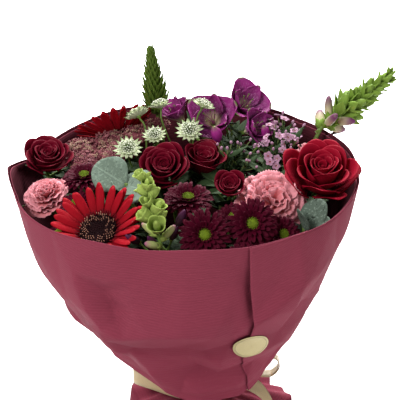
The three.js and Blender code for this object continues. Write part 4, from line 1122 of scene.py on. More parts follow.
def lily_finish():
    """Magenta tepals with pale veins, dark dashes in the throat, a yellow-green root and a green tip."""
    rim = tint("lily")
    made = Finish("lily_tepal", 0.5, Specular_IOR_Level=0.2)
    along, across, tone = made.mark()
    side = across.from_middle()
    veins = made.grain(6, 2, across * 22 + tone * 9, along * 1.5)
    body = made.mix(shade(rim, 0.6), rim, made.noise(45).between(0.3, 0.7))
    body = made.mix(body, (0.72, 0.36, 0.62), veins.between(0.5, 0.7) * (1 - along.between(0.55, 1.0)) * 0.85)
    body = made.mix((0.66, 0.58, 0.38), body, along.between(0.2, 0.48))
    body = made.mix(body, (0.14, 0.20, 0.05), along.between(0.93, 1.0) * (1 - side.between(0.1, 0.4)))
    dashes = made.grain(8, 1, across * 14, along * 5)
    streaks = dashes.between(0.58, 0.66) * (1 - along.between(0.55, 0.75)) * tone.between(0.5, 0.6)
    made.set("Base Color", made.mix(body, (0.03, 0.002, 0.02), streaks))
    return made.bump(veins, 0.4 * MM, 0.6)


class BOUQUET_OT_peruvian_lily(bpy.types.Operator):
    """A Peruvian lily: four blooms of six tepals with stamens, four buds, and long leaves."""

    bl_idname = "bouquet.peruvian_lily"
    bl_label = "Peruvian lily"

    def execute(self, context):
        tepal = lily_finish()
        bud_finish = floret_finish("lily_bud", tint("lily"), (0.16, 0.22, 0.05), 0.4, 200, step=(0.6, 1.0))
        anther = floret_finish("lily_stamen", (0.45, 0.12, 0.3), (0.30, 0.26, 0.10), 0.6, step=(0.8, 0.9))
        draw = random.Random(61)
        green = Skin()
        fork = LILY_FORK
        line = grow_stem(green, (2, 2), fork, (0.2, 0.3, 1))
        leafy(green, line, 300, 350, 10, 46, draw, narrow=0.28)
        for number, (spot, diameter, opened) in enumerate(LILY_BLOOMS, 1):
            place = frame_of(*spot)
            radius = 0.56 * diameter
            bloom = Skin()
            for k in range(6):
                outer = k % 2 == 0
                outline = (0.18, 0.4, 0.78, 1, 1, 0.72) if outer else (0.2, 0.4, 0.72, 1, 0.86, 0.3)
                grid = petal(1.36 * radius, (1.22 if outer else 0.74) * radius, outline,
                             rise=84 - 26 * opened, bend=-34 * opened + (0 if outer else 26),
                             curl=-22 if outer else -4, cup=0.42, tip=0.2 if outer else 0.06,
                             frill=0.035 * radius, waves=3, phase=draw.uniform(0, 6), channel=-0.08,
                             rows=11, columns=8)
                root = place @ turn("Z", 60 * k + draw.uniform(-5, 5))
                root = root @ shift(0.06 * radius, 0, -0.46 * radius)
                bloom.blade(grid, 0.6, 0.1 if outer else 0.9, 0, root)
            for k in range(6):
                lean = draw.uniform(4, 18)
                line = [(0, 0, 0), (1.2, 0, 0.4 * radius), (radians(lean) * 0.9 * radius, 0, 0.86 * radius)]
                foot = place @ turn("Z", 60 * k + 30) @ shift(1, 0, -0.4 * radius)
                bloom.tube(smooth_line(line, 3), 0.42, 5, finish=1, place=foot)
                bloom.round([(0, -1.3), (0.8, -0.6), (0.8, 0.8), (0, 1.5)], 6, finish=2,
                            place=foot @ shift(*line[-1]))
            bloom.piece(f"lily_tepals_{number}", [tepal, anther, stalk()], "petals_purple",
                        f"lily_bloom_{number}")
            neck = 0.25 * diameter
            green.tube(smooth_line([raised(fork, -3), below(spot, neck + 16), below(spot, neck)], 5), 1.4, 7)
            branch = smooth_line([raised(fork, 4), below(spot, neck + 10)], 4)
            leafy(green, branch, 358, 392, 5, 38, draw, narrow=0.26)
            green.round([(0, -0.74 * radius), (1.7, -0.66 * radius), (2.4, -0.54 * radius),
                         (1.6, -0.44 * radius), (0, -0.4 * radius)], 9, place=place)
        for at, size in LILY_BUDS:
            tip = Vector(at)
            bend = Vector(((fork.x + tip.x) / 2, (fork.y + tip.y) / 2, 374))
            green.tube(smooth_line([raised(fork, -2), bend, tip], 4), 1.2, 6)
            green.round([(0, -2), (0.16 * size, 0.1 * size), (0.3 * size, 0.42 * size),
                         (0.26 * size, 0.7 * size), (0.1 * size, 0.94 * size), (0, size)], 12, 0.5, 2,
                        aimed(tip, (-0.25, -0.1, 1)), 0.1, 3)
        for k in range(14):
            way = around(radians(k * LEAF_TURN), draw.uniform(0.4, 1.2))
            at = raised(fork, draw.uniform(-18, 6))
            set_leaf(green, lance(draw.uniform(40, 54), draw.uniform(9, 12), 34), at, way, draw)
        green.piece("lily_green", [stalk(), foliage(), bud_finish], "leaves_dark_green", "lily_stem")
        return {"FINISHED"}


# Each spray's fork, its stem's place in the tie, and its heads with their diameters.
MASTERWORTS = {
    "astrantia_left": ((-68, 40, 352), (1, 2), (
        (((-87, 20, 409), 25, 262), 34),
        (((-76, 72, 424), 50, 120), 30),
        (((-58, 42, 414), 20, 250), 28))),
    "astrantia_right": ((-22, 66, 350), (1, 1), (
        (((-20, 52, 414), 24, 265), 34),
        (((-52, 84, 428), 30, 110), 28),
        (((-6, 74, 434), 24, 30), 27))),
}


def bract_finish(base):
    """Pale bracts with fine veins and green tips."""
    made = Finish("masterwort_bract", 0.55, Specular_IOR_Level=0.25)
    along, across, _ = made.mark()
    veins = (across.from_middle() * (1.5 * TAU)).sine().between(0.5, 1.0)
    body = made.mix(shade(base, 0.75), base, along.between(0.0, 0.5))
    body = made.mix(body, (0.16, 0.30, 0.06), along.between(0.72, 1.0) * 0.8 + veins * 0.25)
    made.set("Base Color", body)
    return made.bump(veins, 0.2 * MM, 0.5)


def masterwort_head(skin, place, radius, draw):
    """Two layers of bracts round a dome of pins."""
    skin.round([(0, -2.4), (1.6, -1.6), (2.8, 0), (2.2, 2.2), (0, 3)], 9, place=place)
    for layer, count in enumerate((15, 13)):
        for k in range(count):
            reach = radius * (1.03 - 0.16 * layer) * draw.uniform(0.94, 1.02)
            grid = petal(reach, 0.31 * radius, (0.42, 0.7, 1, 0.9, 0.5, 0.06), rise=14 + 14 * layer, bend=8,
                         curl=6, cup=0.2, tip=0.02)
            tone = draw.random()
            spot = place @ turn("Z", 360 * (k + layer / 2) / count + draw.uniform(-4, 4))
            skin.blade(grid, BRACT_THICK, tone, 1, spot @ shift(0.8, 0, 0.3 + 0.6 * layer))
    for share, angle in spiral(60):
        spot = place @ turn("Z", degrees(angle)) @ shift(1.4 * share, 0, 2) @ turn("Y", 62 * share)
        tall = 0.56 * radius * draw.uniform(0.8, 1.1)
        skin.round([(0, 0), (0.2, 0.4), (0.18, tall - 0.7), (0.8, tall), (0.7, tall + 0.8), (0, tall + 1.2)],
                   5, draw.random(), 2, spot)


class BOUQUET_OT_masterwort(bpy.types.Operator):
    """Two sprays of masterwort: pointed bracts round a dome of pin-like florets."""

    bl_idname = "bouquet.masterwort"
    bl_label = "Masterwort"

    def execute(self, context):
        bract = bract_finish(tint("masterwort"))
        pin = floret_finish("masterwort_pin", (0.16, 0.24, 0.07), (0.86, 0.86, 0.72), 0.6, step=(0.55, 0.8))
        for name, draw, (fork, slot, heads) in seeded(MASTERWORTS, 71):
            skin = Skin()
            grow_stem(skin, slot, fork, UP, 2.1)
            for spot, diameter in heads:
                skin.tube(smooth_line([raised(fork, -3), below(spot, 20), below(spot, 1)], 5), 1.0, 6)
                masterwort_head(skin, frame_of(*spot), diameter / 2, draw)
            for k in range(7):
                grid = petal(draw.uniform(26, 36), 13, (0.2, 0.7, 1, 0.85, 0.95, 0.4, 0.05), bend=-16,
                             cup=0.2, tip=0.02, frill=0.6, waves=7, rows=9)
                set_leaf(skin, grid, raised(fork, 6 * (k % 3)), around(radians(LEAF_TURN * k), 0.7), draw,
                         finish=3)
            skin.piece(f"{name}_spray", [stalk(), bract, pin, foliage()], "bracts_greenish_white", name)
        return {"FINISHED"}


# The lobes of the head, as [middle, radius], and the fork below them.
SEDUM_LOBES = (((-136, 40, 386), 21), ((-138, 68, 386), 22), ((-108, 74, 392), 21), ((-106, 46, 390), 20),
               ((-78, 86, 394), 19), ((-56, 104, 396), 14))
SEDUM_FORK = Vector((-98, 62, 348))


# The shares of the florets that are tan and that have opened.
SEDUM_TAN, SEDUM_OPEN = 0.3, 0.65


def stonecrop_lobe(skin, x, y, z, radius, draw):
    """A low dome of florets: open stars with a bead in the middle, or plain beads."""
    star = petal(3.6, 1.7, (0.8, 1, 0.1), rise=34, bend=-20, cup=0.3, tip=0.02, rows=2, columns=2)
    for share, turned in spiral(int(0.2 * radius * radius)):
        angle = turned + x
        out = radius * share * draw.uniform(0.92, 1.05)
        rise = z + 0.32 * radius * cos(share * 1.45) + draw.uniform(-2.6, 2.4)
        place = shift(x + out * cos(angle), y + out * sin(angle), rise) @ turn("Z", degrees(angle))
        place = place @ turn("Y", 60 * share ** 1.5 + draw.uniform(-16, 16))
        finish = 2 if draw.random() < SEDUM_TAN else 0
        if draw.random() < SEDUM_OPEN:
            for tip in range(5):
                skin.blade(star, FLORET_THICK, draw.random(), finish, place @ turn("Z", 72 * tip))
            skin.round([(0, -2), (0.7, -0.4), (0.8, 0.9), (0, 2.1)], 5, draw.random(), 1, place)
        else:
            skin.round([(0, -2), (1.1, -0.5), (1.3, 0.9), (0.6, 2.2), (0, 2.7)], 5, draw.random(), 1, place,
                       0.12, 5)


class BOUQUET_OT_stonecrop(bpy.types.Operator):
    """A broad head of hundreds of tiny star florets on a branching stalk."""

    bl_idname = "bouquet.stonecrop"
    bl_label = "Stonecrop"

    def execute(self, context):
        rose = tint("stonecrop")
        star = floret_finish("stonecrop_floret", shade(rose, 0.3), shade(rose, 1.02), 0.65, step=(0.1, 0.8))
        tan = floret_finish("stonecrop_tan", (0.09, 0.05, 0.03), (0.30, 0.19, 0.13), 0.65, step=(0.1, 0.8))
        bead = floret_finish("stonecrop_bead", shade(rose, 0.7), (0.34, 0.15, 0.13), 0.6, step=(0.5, 1.0))
        draw = random.Random(81)
        head, green = Skin(), Skin()
        grow_stem(green, (2, 5), SEDUM_FORK, (-0.4, 0.2, 1))
        for (x, y, z), radius in SEDUM_LOBES:
            head.round([(0, z - 0.46 * radius), (0.5 * radius, z - 0.2 * radius), (0.92 * radius, z),
                        (0.7 * radius, z + 0.2 * radius), (0, z + 0.28 * radius)], 14, 0.2, 0, shift(x, y, 0))
            under = [(x, y, z - 0.42 * radius - 14), (x, y, z - 0.4 * radius)]
            green.tube(smooth_line([raised(SEDUM_FORK, -4), *under], 5), 1.5, 7)
            stonecrop_lobe(head, x, y, z, radius, draw)
        for k in range(12):
            at = raised(SEDUM_FORK, -10 + 2.4 * k)
            grid = rounded(draw.uniform(28, 38), draw.uniform(17, 22), 26)
            set_leaf(green, grid, at, around(radians(LEAF_TURN * k), 0.8), draw)
        head.piece("stonecrop_florets", [star, bead, tan], "florets_dusty_rose", "sedum_head")
        green.piece("stonecrop_green", [stalk(), foliage()], "stems_green", "sedum_stem")
        return {"FINISHED"}


# Each spray's fork and place in the tie, the open florets and broad leaves of each twig, and the twigs' tips.
WAXFLOWERS = {
    "waxflower_right": ((76, 50, 346), (2, 1), 3, 1, (
        (79, 62, 404), (97, 74, 404), (86, 92, 410), (82, 36, 400), (66, 26, 398), (64, 46, 404),
        (94, 50, 408), (74, 80, 406))),
    "waxflower_mid": ((16, 36, 340), (1, 0), 0, 2, ((22, 30, 404), (36, 44, 402), (44, 14, 398))),
}


def wax_floret(skin, place, radius, draw):
    """Five rounded petals round a dark cup with a ring of stamens."""
    for k in range(5):
        grid = petal(0.95 * radius, 0.86 * radius, (0.4, 0.8, 1, 0.96, 0.7), rise=12, bend=-8, cup=0.3,
                     tip=0.2, rows=5)
        skin.blade(grid, BRACT_THICK, draw.random(), 1, place @ turn("Z", 72 * k)
                   @ shift(0.14 * radius, 0, 0.4))
    skin.round([(0, -3.4), (1.1, -2.2), (0.3 * radius, 0.2), (0.24 * radius, 0.9), (0, 0.5)], 10, 0.2, 2,
               place)
    for k in range(8):
        spot = place @ turn("Z", 45 * k) @ shift(0.22 * radius, 0, 0.6) @ turn("Y", 14)
        skin.round([(0, 0), (0.16, 0.2), (0.14, 1.0), (0.3, 1.2), (0, 1.5)], 4, 0.9, 3, spot)


def wax_twig(skin, fork, tip, opened, broad, draw):
    """A wiry twig with broad leaves, a bunch of florets and buds at its tip, and needles."""
    way = (tip - fork).normalized()
    middle = fork.lerp(tip, 0.55) + Vector((draw.uniform(-3, 3), draw.uniform(-3, 3), 0))
    skin.tube(smooth_line([raised(fork, -2), middle, tip], 4), 0.75, 6)
    for leaf in range(broad):
        turned = draw.uniform(-0.8, 1.4)
        grid = petal(draw.uniform(24, 34), draw.uniform(9, 12), (0.4, 0.85, 1, 0.8, 0.4, 0.05), bend=-22,
                     channel=0.2, tip=0.05, rows=7)
        at = fork.lerp(tip, draw.uniform(0.6, 0.85))
        out = (cos(turned), sin(turned) - 0.4, draw.uniform(0.5, 0.9))
        set_leaf(skin, grid, at, out, draw, finish=4)
    for side in range(6):
        head = tip
        if side:
            jog = Vector((draw.uniform(-12, 12), draw.uniform(-12, 12), draw.uniform(-9, 5)))
            head = tip + jog
            skin.tube(smooth_line([fork.lerp(tip, 0.74), fork.lerp(tip, 0.86) + jog * 0.5, head], 3), 0.6, 5)
        lean = way + Vector((draw.uniform(-0.5, 0.5), draw.uniform(-0.9, 0.1), 0.1))
        if side < opened:
            wax_floret(skin, aimed(head, lean), draw.uniform(4.4, 5.8), draw)
        else:
            skin.round([(0, -1), (1.1, 0.6), (1.7, 2.6), (1.2, 4.2), (0, 5)], 8, 0.7, 1, aimed(head, lean))
    for needle in range(13):
        at = fork.lerp(tip, draw.uniform(0.3, 0.92))
        out = around(draw.uniform(0, TAU), draw.uniform(0.6, 1.4))
        grid = petal(draw.uniform(12, 20), 1.7, (0.6, 1, 1, 0.7, 0.1), bend=16, cup=0.3, tip=0.02, rows=5,
                     columns=2)
        set_leaf(skin, grid, at, out, draw, finish=4)


class BOUQUET_OT_waxflower(bpy.types.Operator):
    """Two sprays of waxflower: wiry twigs, needles and small cupped florets."""

    bl_idname = "bouquet.waxflower"
    bl_label = "Waxflower"

    def execute(self, context):
        wax = petal_finish("waxflower_petal", tint("waxflower"), root=0.75, edge=1.03, streak=0.03,
                           roughness=0.5)
        cup = floret_finish("waxflower_cup", (0.10, 0.02, 0.03), (0.26, 0.03, 0.08), 0.4, step=(0.5, 0.9))
        stamen = floret_finish("waxflower_stamen", (0.5, 0.2, 0.3), (0.75, 0.6, 0.5), 0.5)
        twig = stalk_finish("waxflower_twig", (0.10, 0.13, 0.035))
        for name, draw, (fork, slot, opened, broad, tips) in seeded(WAXFLOWERS, 91):
            skin = Skin()
            grow_stem(skin, slot, fork, (0.1, 0.1, 1), 2.0)
            for tip in tips:
                wax_twig(skin, Vector(fork), Vector(tip), opened, broad, draw)
            skin.piece(f"{name}_spray", [twig, wax, cup, stamen, foliage()], "florets_lilac", name)
        return {"FINISHED"}


# Each twig's fork, its stem's place in the tie, and its leaves as [direction, length, width, drop].
GUM_TWIGS = {
    "eucalyptus_left": ((-88, -36, 398), (1, 4), (
        ((-0.85, 0.4, 0.42), 42, 38, 0), ((0.55, -0.7, 0.25), 42, 36, 0), ((0.35, 0.8, 0.25), 30, 26, 14))),
    "eucalyptus_right": ((101, -82, 368), (3, 15), (
        ((0.5, 0.25, 0.8), 38, 26, 0), ((-0.1, -0.3, 0.9), 32, 22, 0), ((0.8, -0.25, 0.5), 32, 22, 0))),
}

# Each sprig's place in the tie, fork and tip, how many leaves, their length, and its side twigs' tips.
SPRIGS = {
    "greens_right": ((2, 0), (66, 4, 340), (70, 2, 384), 15, (26, 44), (
        (-6, 128, 366), (26, 142, 366), (58, 132, 368), (92, 118, 370), (120, 92, 366),
        (30, 66, 372), (12, 6, 362), (96, 10, 366), (138, 40, 362), (52, 100, 372))),
    "greens_front": ((3, 13), (-26, -98, 330), (-24, -96, 358), 13, (26, 38), (
        (-64, -58, 352), (-112, -60, 348), (-140, 8, 352), (-44, -116, 344), (6, -108, 346),
        (64, -120, 342), (98, -92, 350), (40, -44, 356), (-150, 66, 356), (-84, -6, 362))),
}
GUM_THICK = 0.7


class BOUQUET_OT_foliage(bpy.types.Operator):
    """Eucalyptus with rounded leaves, and dark leafy stems that fill the gaps between the blooms."""

    bl_idname = "bouquet.foliage"
    bl_label = "Foliage"

    def execute(self, context):
        gum = leaf_finish("eucalyptus_leaf", tint("eucalyptus"), 1.06, 0.7, pairs=5, bloom=0.6)
        # Painted shade: the right twig's leaves are the same eucalyptus green painted at about half its
        # colour, and carry a heavier waxy bloom.
        gum_shade_and_bloom = leaf_finish("eucalyptus_leaf_dark", shade(tint("eucalyptus"), 0.55), 1.06, 0.7, pairs=6,
                            bloom=1.0)
        for name, draw, (fork, slot, leaves) in seeded(GUM_TWIGS, 101):
            skin = Skin()
            grow_stem(skin, slot, fork, UP, 2.1)
            for way, length, width, drop in leaves:
                spin = (36 if way[0] > 0 else -36) + draw.uniform(-8, 8)
                set_leaf(skin, rounded(length, 1.16 * width), raised(fork, -2 - drop), way, draw, spin,
                         thick=GUM_THICK)
            for k in range(3):
                way = around(radians(120 * k + 40), 0.9)
                grid = rounded(19 + 3 * k, 17 + 3 * k)
                set_leaf(skin, grid, raised(fork, -4 - 7 * k), way, draw, thick=GUM_THICK)
            finish = gum if name == "eucalyptus_left" else gum_shade_and_bloom
            skin.piece(f"{name}_twig", [stalk(), finish], "leaves_grey_green", name)
        for name, draw, (slot, fork, tip, count, spread, sides) in seeded(SPRIGS, 111):
            skin = Skin()
            fork, tip = Vector(fork), Vector(tip)
            grow_stem(skin, slot, fork, UP)
            skin.tube([raised(fork, -3), fork.lerp(tip, 0.5), tip], 1.3, 7)
            for k in range(count):
                at = fork.lerp(tip, 0.05 + 0.93 * k / count)
                way = around(radians(LEAF_TURN * k + 30), draw.uniform(0.3, 0.8))
                set_leaf(skin, lance(draw.uniform(*spread), draw.uniform(10, 14)), at, way, draw)
            for side in sides:
                twig = smooth_line([fork, raised(fork.lerp(Vector(side), 0.6), -12), side], 6)
                skin.tube(twig, 0.9, 6)
                for k, at in enumerate(twig[3:12]):
                    way = around(radians(LEAF_TURN * k + 50), draw.uniform(0.3, 1.2))
                    length = draw.uniform(24, 36)
                    grid = lance(length, draw.uniform(0.3, 0.42) * length, 24)
                    set_leaf(skin, grid, at, way, draw, draw.uniform(-30, 30))
            skin.piece(f"{name}_sprig", [stalk(), foliage()], "leaves_dark_green", name)
        return {"FINISHED"}


# The paper, as on the solids: at each level a sheet is a circle of [height, radius, shift to the right, depth
# of its gathers], and both sheets follow the same folds.
TIE_PAPER_R = 22.6
RIM_Z = 390
BOWL = ((127, TIE_PAPER_R, 0, 0.5), (137, TIE_PAPER_R, 0, 0.5), (147, 45, -3, 3), (190, 92, -13, 3),
        (238, 136, -30, 1), (300, 163, -26, 0), (RIM_Z, 183, -25, 0))
SKIRT = ((124, TIE_PAPER_R, 0.5, 0), (113, TIE_PAPER_R, 0.5, 0), (110, 52, 3, 1), (98, 88, 6, 3),
         (0, 97, 6, 0))
GATHERS = 7

# The outer sheet's lower edge, as [bearing, height], and the bearings of its overlap at the rim and the hem.
COLLAR_EDGE = ((-92, 147), (-62, 152), (-45, 176), (-23, 226), (0, 284), (30, 280), (70, 244), (150, 238),
               (180, 236), (200, 205), (222, 170), (268, 147), (298, 152), (330, 205))
LAP_TOP, LAP_BOTTOM, LAP_OVER = -69.5, -57, 22

# How far the paper falls back beside the overlap, and how many millimetres a degree counts for in the folds.
GAPE = 6
NET_STRETCH = 2.4

# How far the rim rises, by bearing: it dips at the back left and stands up in front.
RIM_RISE = ((0, 0), (43, 3), (82, 0), (106, -7), (150, -11), (180, -7), (195, -6), (215, -3), (240, 6),
            (270, 10), (306, 6), (333, 0), (360, 0))

# The slots that make up the wrap itself.
WRAPPING = ("paper_inner", "paper_outer", "satin_ribbon", "twine", "gold_foil")

# Folds that show, as [bearing, height, distance out] of the corners where flat facets of the paper meet: a
# dent on the left, a ridge across, a peak on the right panel, waves along the rim and dips at the sides.
FRONT_FOLDS = (
    (231, 346, 8), (232, 320, 9), (235, 300, 9), (239, 282, 10), (239, 330, -10), (242, 308, -13),
    (244, 293, -5), (251, 344, 3), (252, 314, 3), (250, 298, 4), (222, 332, 1), (222, 302, -1),
    (227, 278, -4), (239, 266, 10), (248, 276, 13), (258, 285, 14), (269, 288, 15), (280, 285, 14),
    (287, 283, 9), (289, 267, 4), (309, 268, 4), (248, 248, -9), (260, 254, -9), (272, 262, -7),
    (266, 230, -11), (279, 250, -6), (286, 224, 8), (296, 176, 5), (274, 212, -14), (272, 252, -12),
    (262, 190, -6), (284, 196, -6), (240, 222, -6), (248, 202, 8), (232, 200, -5), (270, 170, 8),
    (256, 166, 0), (312, 324, 14), (303, 336, 2), (334, 336, 2), (317, 294, -3), (324, 262, 4),
    (306, 214, -4), (330, 216, 3), (330, 188, -1), (316, 184, -3), (304, 158, 0), (299, 262, 3),
    (314, 246, 7), (288, 240, 3), (308, 238, 3), (288, 344, -1), (270, 345, 2), (256, 366, 0.5),
    (206, 390, 4), (220, 390, -1), (242, 390, 4.5), (258, 390, 0), (276, 390, 3), (290, 390, -0.5),
    (308, 390, 4), (330, 390, -0.5), (352, 390, 4), (204, 344, 2), (206, 282, -9), (205, 250, -17),
    (214, 232, -20), (222, 246, -15), (228, 258, -8), (346, 268, -10), (350, 300, -8), (338, 250, -4),
    (343, 350, 4), (176, 392, 10), (160, 390, -3), (191, 392, 2), (186, 340, -1), (190, 298, -5),
    (194, 262, -13), (184, 240, -10), (356, 268, -6),
)


def ramp(x, low, high):
    """0 below low, 1 above high, and straight from one to the other."""
    return min(1.0, max(0.0, (x - low) / (high - low)))


def bend_between(table, x):
    """The values of a table of [place, value...] at a place between its rows."""
    for (a, *low), (b, *high) in zip(table, table[1:]):
        if x <= b:
            break
    share = ramp(x, a, b)
    return [p + (q - p) * share for p, q in zip(low, high)]


@functools.cache
def fold_net():
    """The facets of the paper, as a net over bearing and height, three turns wide so that it meets itself."""
    draw = random.Random(7)
    corners = list(FRONT_FOLDS)
    for z in (120, 156, 196, 232, 268, 306, 348, 396):
        for k in range(16):
            spot = (22.5 * k + draw.uniform(-8, 8), z + draw.uniform(-10, 10) * (120 < z < 396),
                    draw.uniform(-2, 3.5) * (1 if z > 330 else 1.6))
            if all(abs(spot[0] - b) > 12 or abs(spot[1] - h) > 24 for b, h, out in FRONT_FOLDS):
                corners.append(spot)
    flat = [Vector((NET_STRETCH * (b + whole), z)) for whole in (-360, 0, 360) for b, z, out in corners]
    outs = [out for b, z, out in corners] * 3
    points, _, faces, sources, *_ = geometry.delaunay_2d_cdt(flat, [], [], 0, 1e-4)
    return BVHTree.FromPolygons([(p.x, p.y, outs[source[0]]) for p, source in zip(points, sources)], faces)


def seam_gap(bearing, z):
    """How far the paper falls back just left of the seam, where the laid-over edge stands off it."""
    seam = bend_between(((147, LAP_BOTTOM), (RIM_Z, LAP_TOP)), z)[0]
    aside = (bearing - seam + 179.5) % 360 - 180
    return GAPE * exp(-(aside / 3.2) ** 2) * sin(pi * ramp(z, 275, 375))


def crumple(bearing, z):
    """How far the paper stands out from its plain form: flat facets that meet in creases, a little wavy."""
    hit = fold_net().ray_cast(Vector((NET_STRETCH * (bearing % 360), z, 50)), -UP)[0]
    angle = radians(bearing)
    wavy = noise.noise(Vector((cos(angle) * 2, sin(angle) * 2, z / 70)))
    return (hit.z + 1.2 * wavy) * ramp(z, 140, 180) - seam_gap(bearing, z)


def on_bowl(bearing, z, offset):
    """A point of a sheet, so far out from the plain form, with the folds that both sheets share."""
    plain, aside, gather = bend_between(BOWL, z)
    angle = radians(bearing)
    stand = crumple(bearing, z)
    radius = plain + gather * cos(GATHERS * angle) + offset + stand
    rise = (bend_between(RIM_RISE, bearing % 360)[0] + 0.9 * stand) * ramp(z, 260, RIM_Z) ** 1.3
    return (aside + radius * cos(angle), radius * sin(angle), z + rise)


def tucked(points):
    """Keeps leaves and petals inside the wrap: a point that would pass through the paper lies against it."""
    points = points.copy()
    levels, radii, asides, _ = zip(*BOWL)
    wide = np.interp(points[:, 2], levels, radii)
    middle = np.interp(points[:, 2], levels, asides)
    outer = np.hypot(points[:, 0] - middle, points[:, 1]) > 0.8 * wide
    for k in np.flatnonzero(outer & (points[:, 2] > 150) & (points[:, 2] < RIM_Z + 8)):
        x, y, height = points[k]
        z = height
        bearing = degrees(atan2(y, x - middle[k]))
        for step in range(3):
            wall = on_bowl(bearing, min(z, RIM_Z), -1.5)
            z += height - wall[2]
        if z <= RIM_Z - 3 and hypot(x - middle[k], y) > hypot(wall[0] - middle[k], wall[1]):
            points[k] = (wall[0], wall[1], height)
    return points


def eased(levels, count):
    """Heights that pass through each level, close together near the tie."""
    marks = np.linspace(0, len(levels) - 1, count)
    return np.interp(marks, range(len(levels)), levels)


def sheet_marks(grid):
    """For the ribs: how far up and how far round each point of a sheet lies, in metres, and a tone of 0.5."""
    up = np.linalg.norm(np.diff(grid, axis=0, prepend=grid[:1]), axis=-1).cumsum(axis=0) * MM
    middle = np.broadcast_to(np.median(up, axis=1, keepdims=True), up.shape)
    across = np.linalg.norm(np.diff(grid, axis=1, prepend=grid[:, :1]), axis=-1).cumsum(axis=1) * MM
    return np.stack([0.5 * up + 0.5 * middle, across, np.full_like(up, 0.5)], -1)


def paper_finish(name, base, edge):
    """Ribbed kraft: fine ribs, soft mottling, painted shade low down, pale specks and a lighter cut edge."""
    made = Finish(name, 0.8, Specular_IOR_Level=0.06)
    up, _, tone = made.mark()
    rib = ((up + made.noise(60, 2) * 0.0008) * (TAU / sizes().rib_pitch)).sine() * 0.5 + 0.5
    fibre = made.noise(1400, 3)
    mottle = made.noise(9, 3) * 0.5 + rib * 0.24 + made.noise(300, 2) * 0.24
    body = made.mix(shade(base, 0.7), shade(base, 1.02), mottle)
    # Painted shade: the paper is painted darker below about 0.27 m, where it turns down away from the light,
    # and from about 0.25 m down it is eased halfway back towards its own colour.
    foot = tuple(c * k for c, k in zip(base, (0.74, 0.66, 0.68)))
    body = made.mix(foot, body, made.height().between(0.262, 0.29) * 0.75 + 0.25)
    body = made.mix(shade(base, 0.98), body, made.height().between(0.22, 0.255) * 0.5 + 0.5)
    body = made.mix(body, shade(base, 0.72), fibre.between(0.52, 0.75) * 0.35)
    body = made.mix(body, shade(base, 1.06), made.noise(420, 1).between(0.76, 0.80) * 0.6)
    body = made.mix(body, edge, tone.between(0.94, 1.0))
    made.set("Base Color", body)
    made.set("Roughness", fibre * 0.2 + 0.7)
    return made.bump(rib * 0.55 + fibre * 0.25 + made.noise(26, 3) * 1.6, 0.5 * MM, 0.55)


def paper_sheet(name, grid, finishes, slot, node, ring=False):
    """A closed thin body. The last finish is underneath."""
    skin = Skin()
    marks = sheet_marks(grid)
    marks[-1, :, 2] = 1
    skin.blade(grid, sizes().paper_thick / MM, finish=(0, len(finishes) - 1), marks=marks, ring=ring)
    made = skin.piece(name, finishes, slot, node)


SHEET_BEARINGS = np.linspace(0, 360, 252, endpoint=False)
LINING_ROWS, COLLAR_ROWS, COLLAR_COLUMNS, SKIRT_ROWS = 66, 84, 360, 41


def lining_grid():
    """The inner sheet, its rim a little below the outer one's."""
    base = BOWL[0][0]
    heights = eased([row[0] for row in BOWL], LINING_ROWS)
    return grid_of(heights, SHEET_BEARINGS, lambda z, b: on_bowl(b, z - 3 * (z - base) / (RIM_Z - base), 0))


def collar_grid():
    """The outer sheet, from its slanting lower edge to the rim and once round, past its own start."""
    levels = (147, 190, 238, 300, RIM_Z)

    def point(share, u):
        k = min(len(levels) - 2, int(share * (len(levels) - 1)))
        start = LAP_BOTTOM + (LAP_TOP - LAP_BOTTOM) * share
        bearing = start + (LAP_TOP + 360 + LAP_OVER - start) * u
        floor = bend_between(COLLAR_EDGE, bearing)[0]
        low, high = (max(levels[n], floor + 3 * n) for n in (k, k + 1))
        z = low + (high - low) * (share * (len(levels) - 1) - k)
        # The laid-over edge bridges the gap beside the seam and stands off it towards the rim.
        lifted = ramp(-u, -0.1, -0.05) * seam_gap(bearing, z)
        lifted += 1.6 * max(0.0, 1 - u / 0.045) * ramp(z, 262, 322)
        top = ramp(z, 300, RIM_Z)
        offset = (7.4 - 2.6 * u) * (1 - top) + (2.5 - 1.0 * u) * top + lifted
        # In front the foot flares out and its edge is turned up.
        facing_front = max(0.0, cos(radians(0.9 * (bearing % 360 - 268))))
        flare = 28 * max(0.0, (212 - z) / 65) ** 1.3 * facing_front ** 0.7
        turned = 4 * max(0.0, 1 - (z - floor) / 13) * facing_front
        return on_bowl(bearing, z, offset + flare + turned)

    return grid_of(np.linspace(0, 1, COLLAR_ROWS), np.linspace(0, 1, COLLAR_COLUMNS), point)


def skirt_grid():
    """The gathered skirt below the tie, with finer pleats between its gathers."""
    start = random.Random(131).uniform(0, TAU)

    def point(share, angle):
        place = share * (len(SKIRT) - 1)
        k = min(len(SKIRT) - 2, int(place))
        z, radius, depth, swell = [a + (b - a) * (place - k) for a, b in zip(SKIRT[k], SKIRT[k + 1])]
        fold = cos(GATHERS * angle)
        fine = sin(19 * angle + start + 0.8 * sin(3 * angle)) * ramp(-z, -124, -112)
        grown = (0.3 + 1.1 * (1 - abs(2 * share - 1))) * fine * min(2.4, radius / 30)
        r = radius + depth * fold + grown + 1.5 * noise.noise(Vector((angle * 2, z / 22, 3)))
        lift = swell * fold + 1.2 * fine * sin(pi * share)
        return (r * cos(angle), r * sin(angle), max(0.35, z + lift * min(1, z / 20)))

    return grid_of(np.linspace(0, 1, SKIRT_ROWS), np.radians(SHEET_BEARINGS), point)


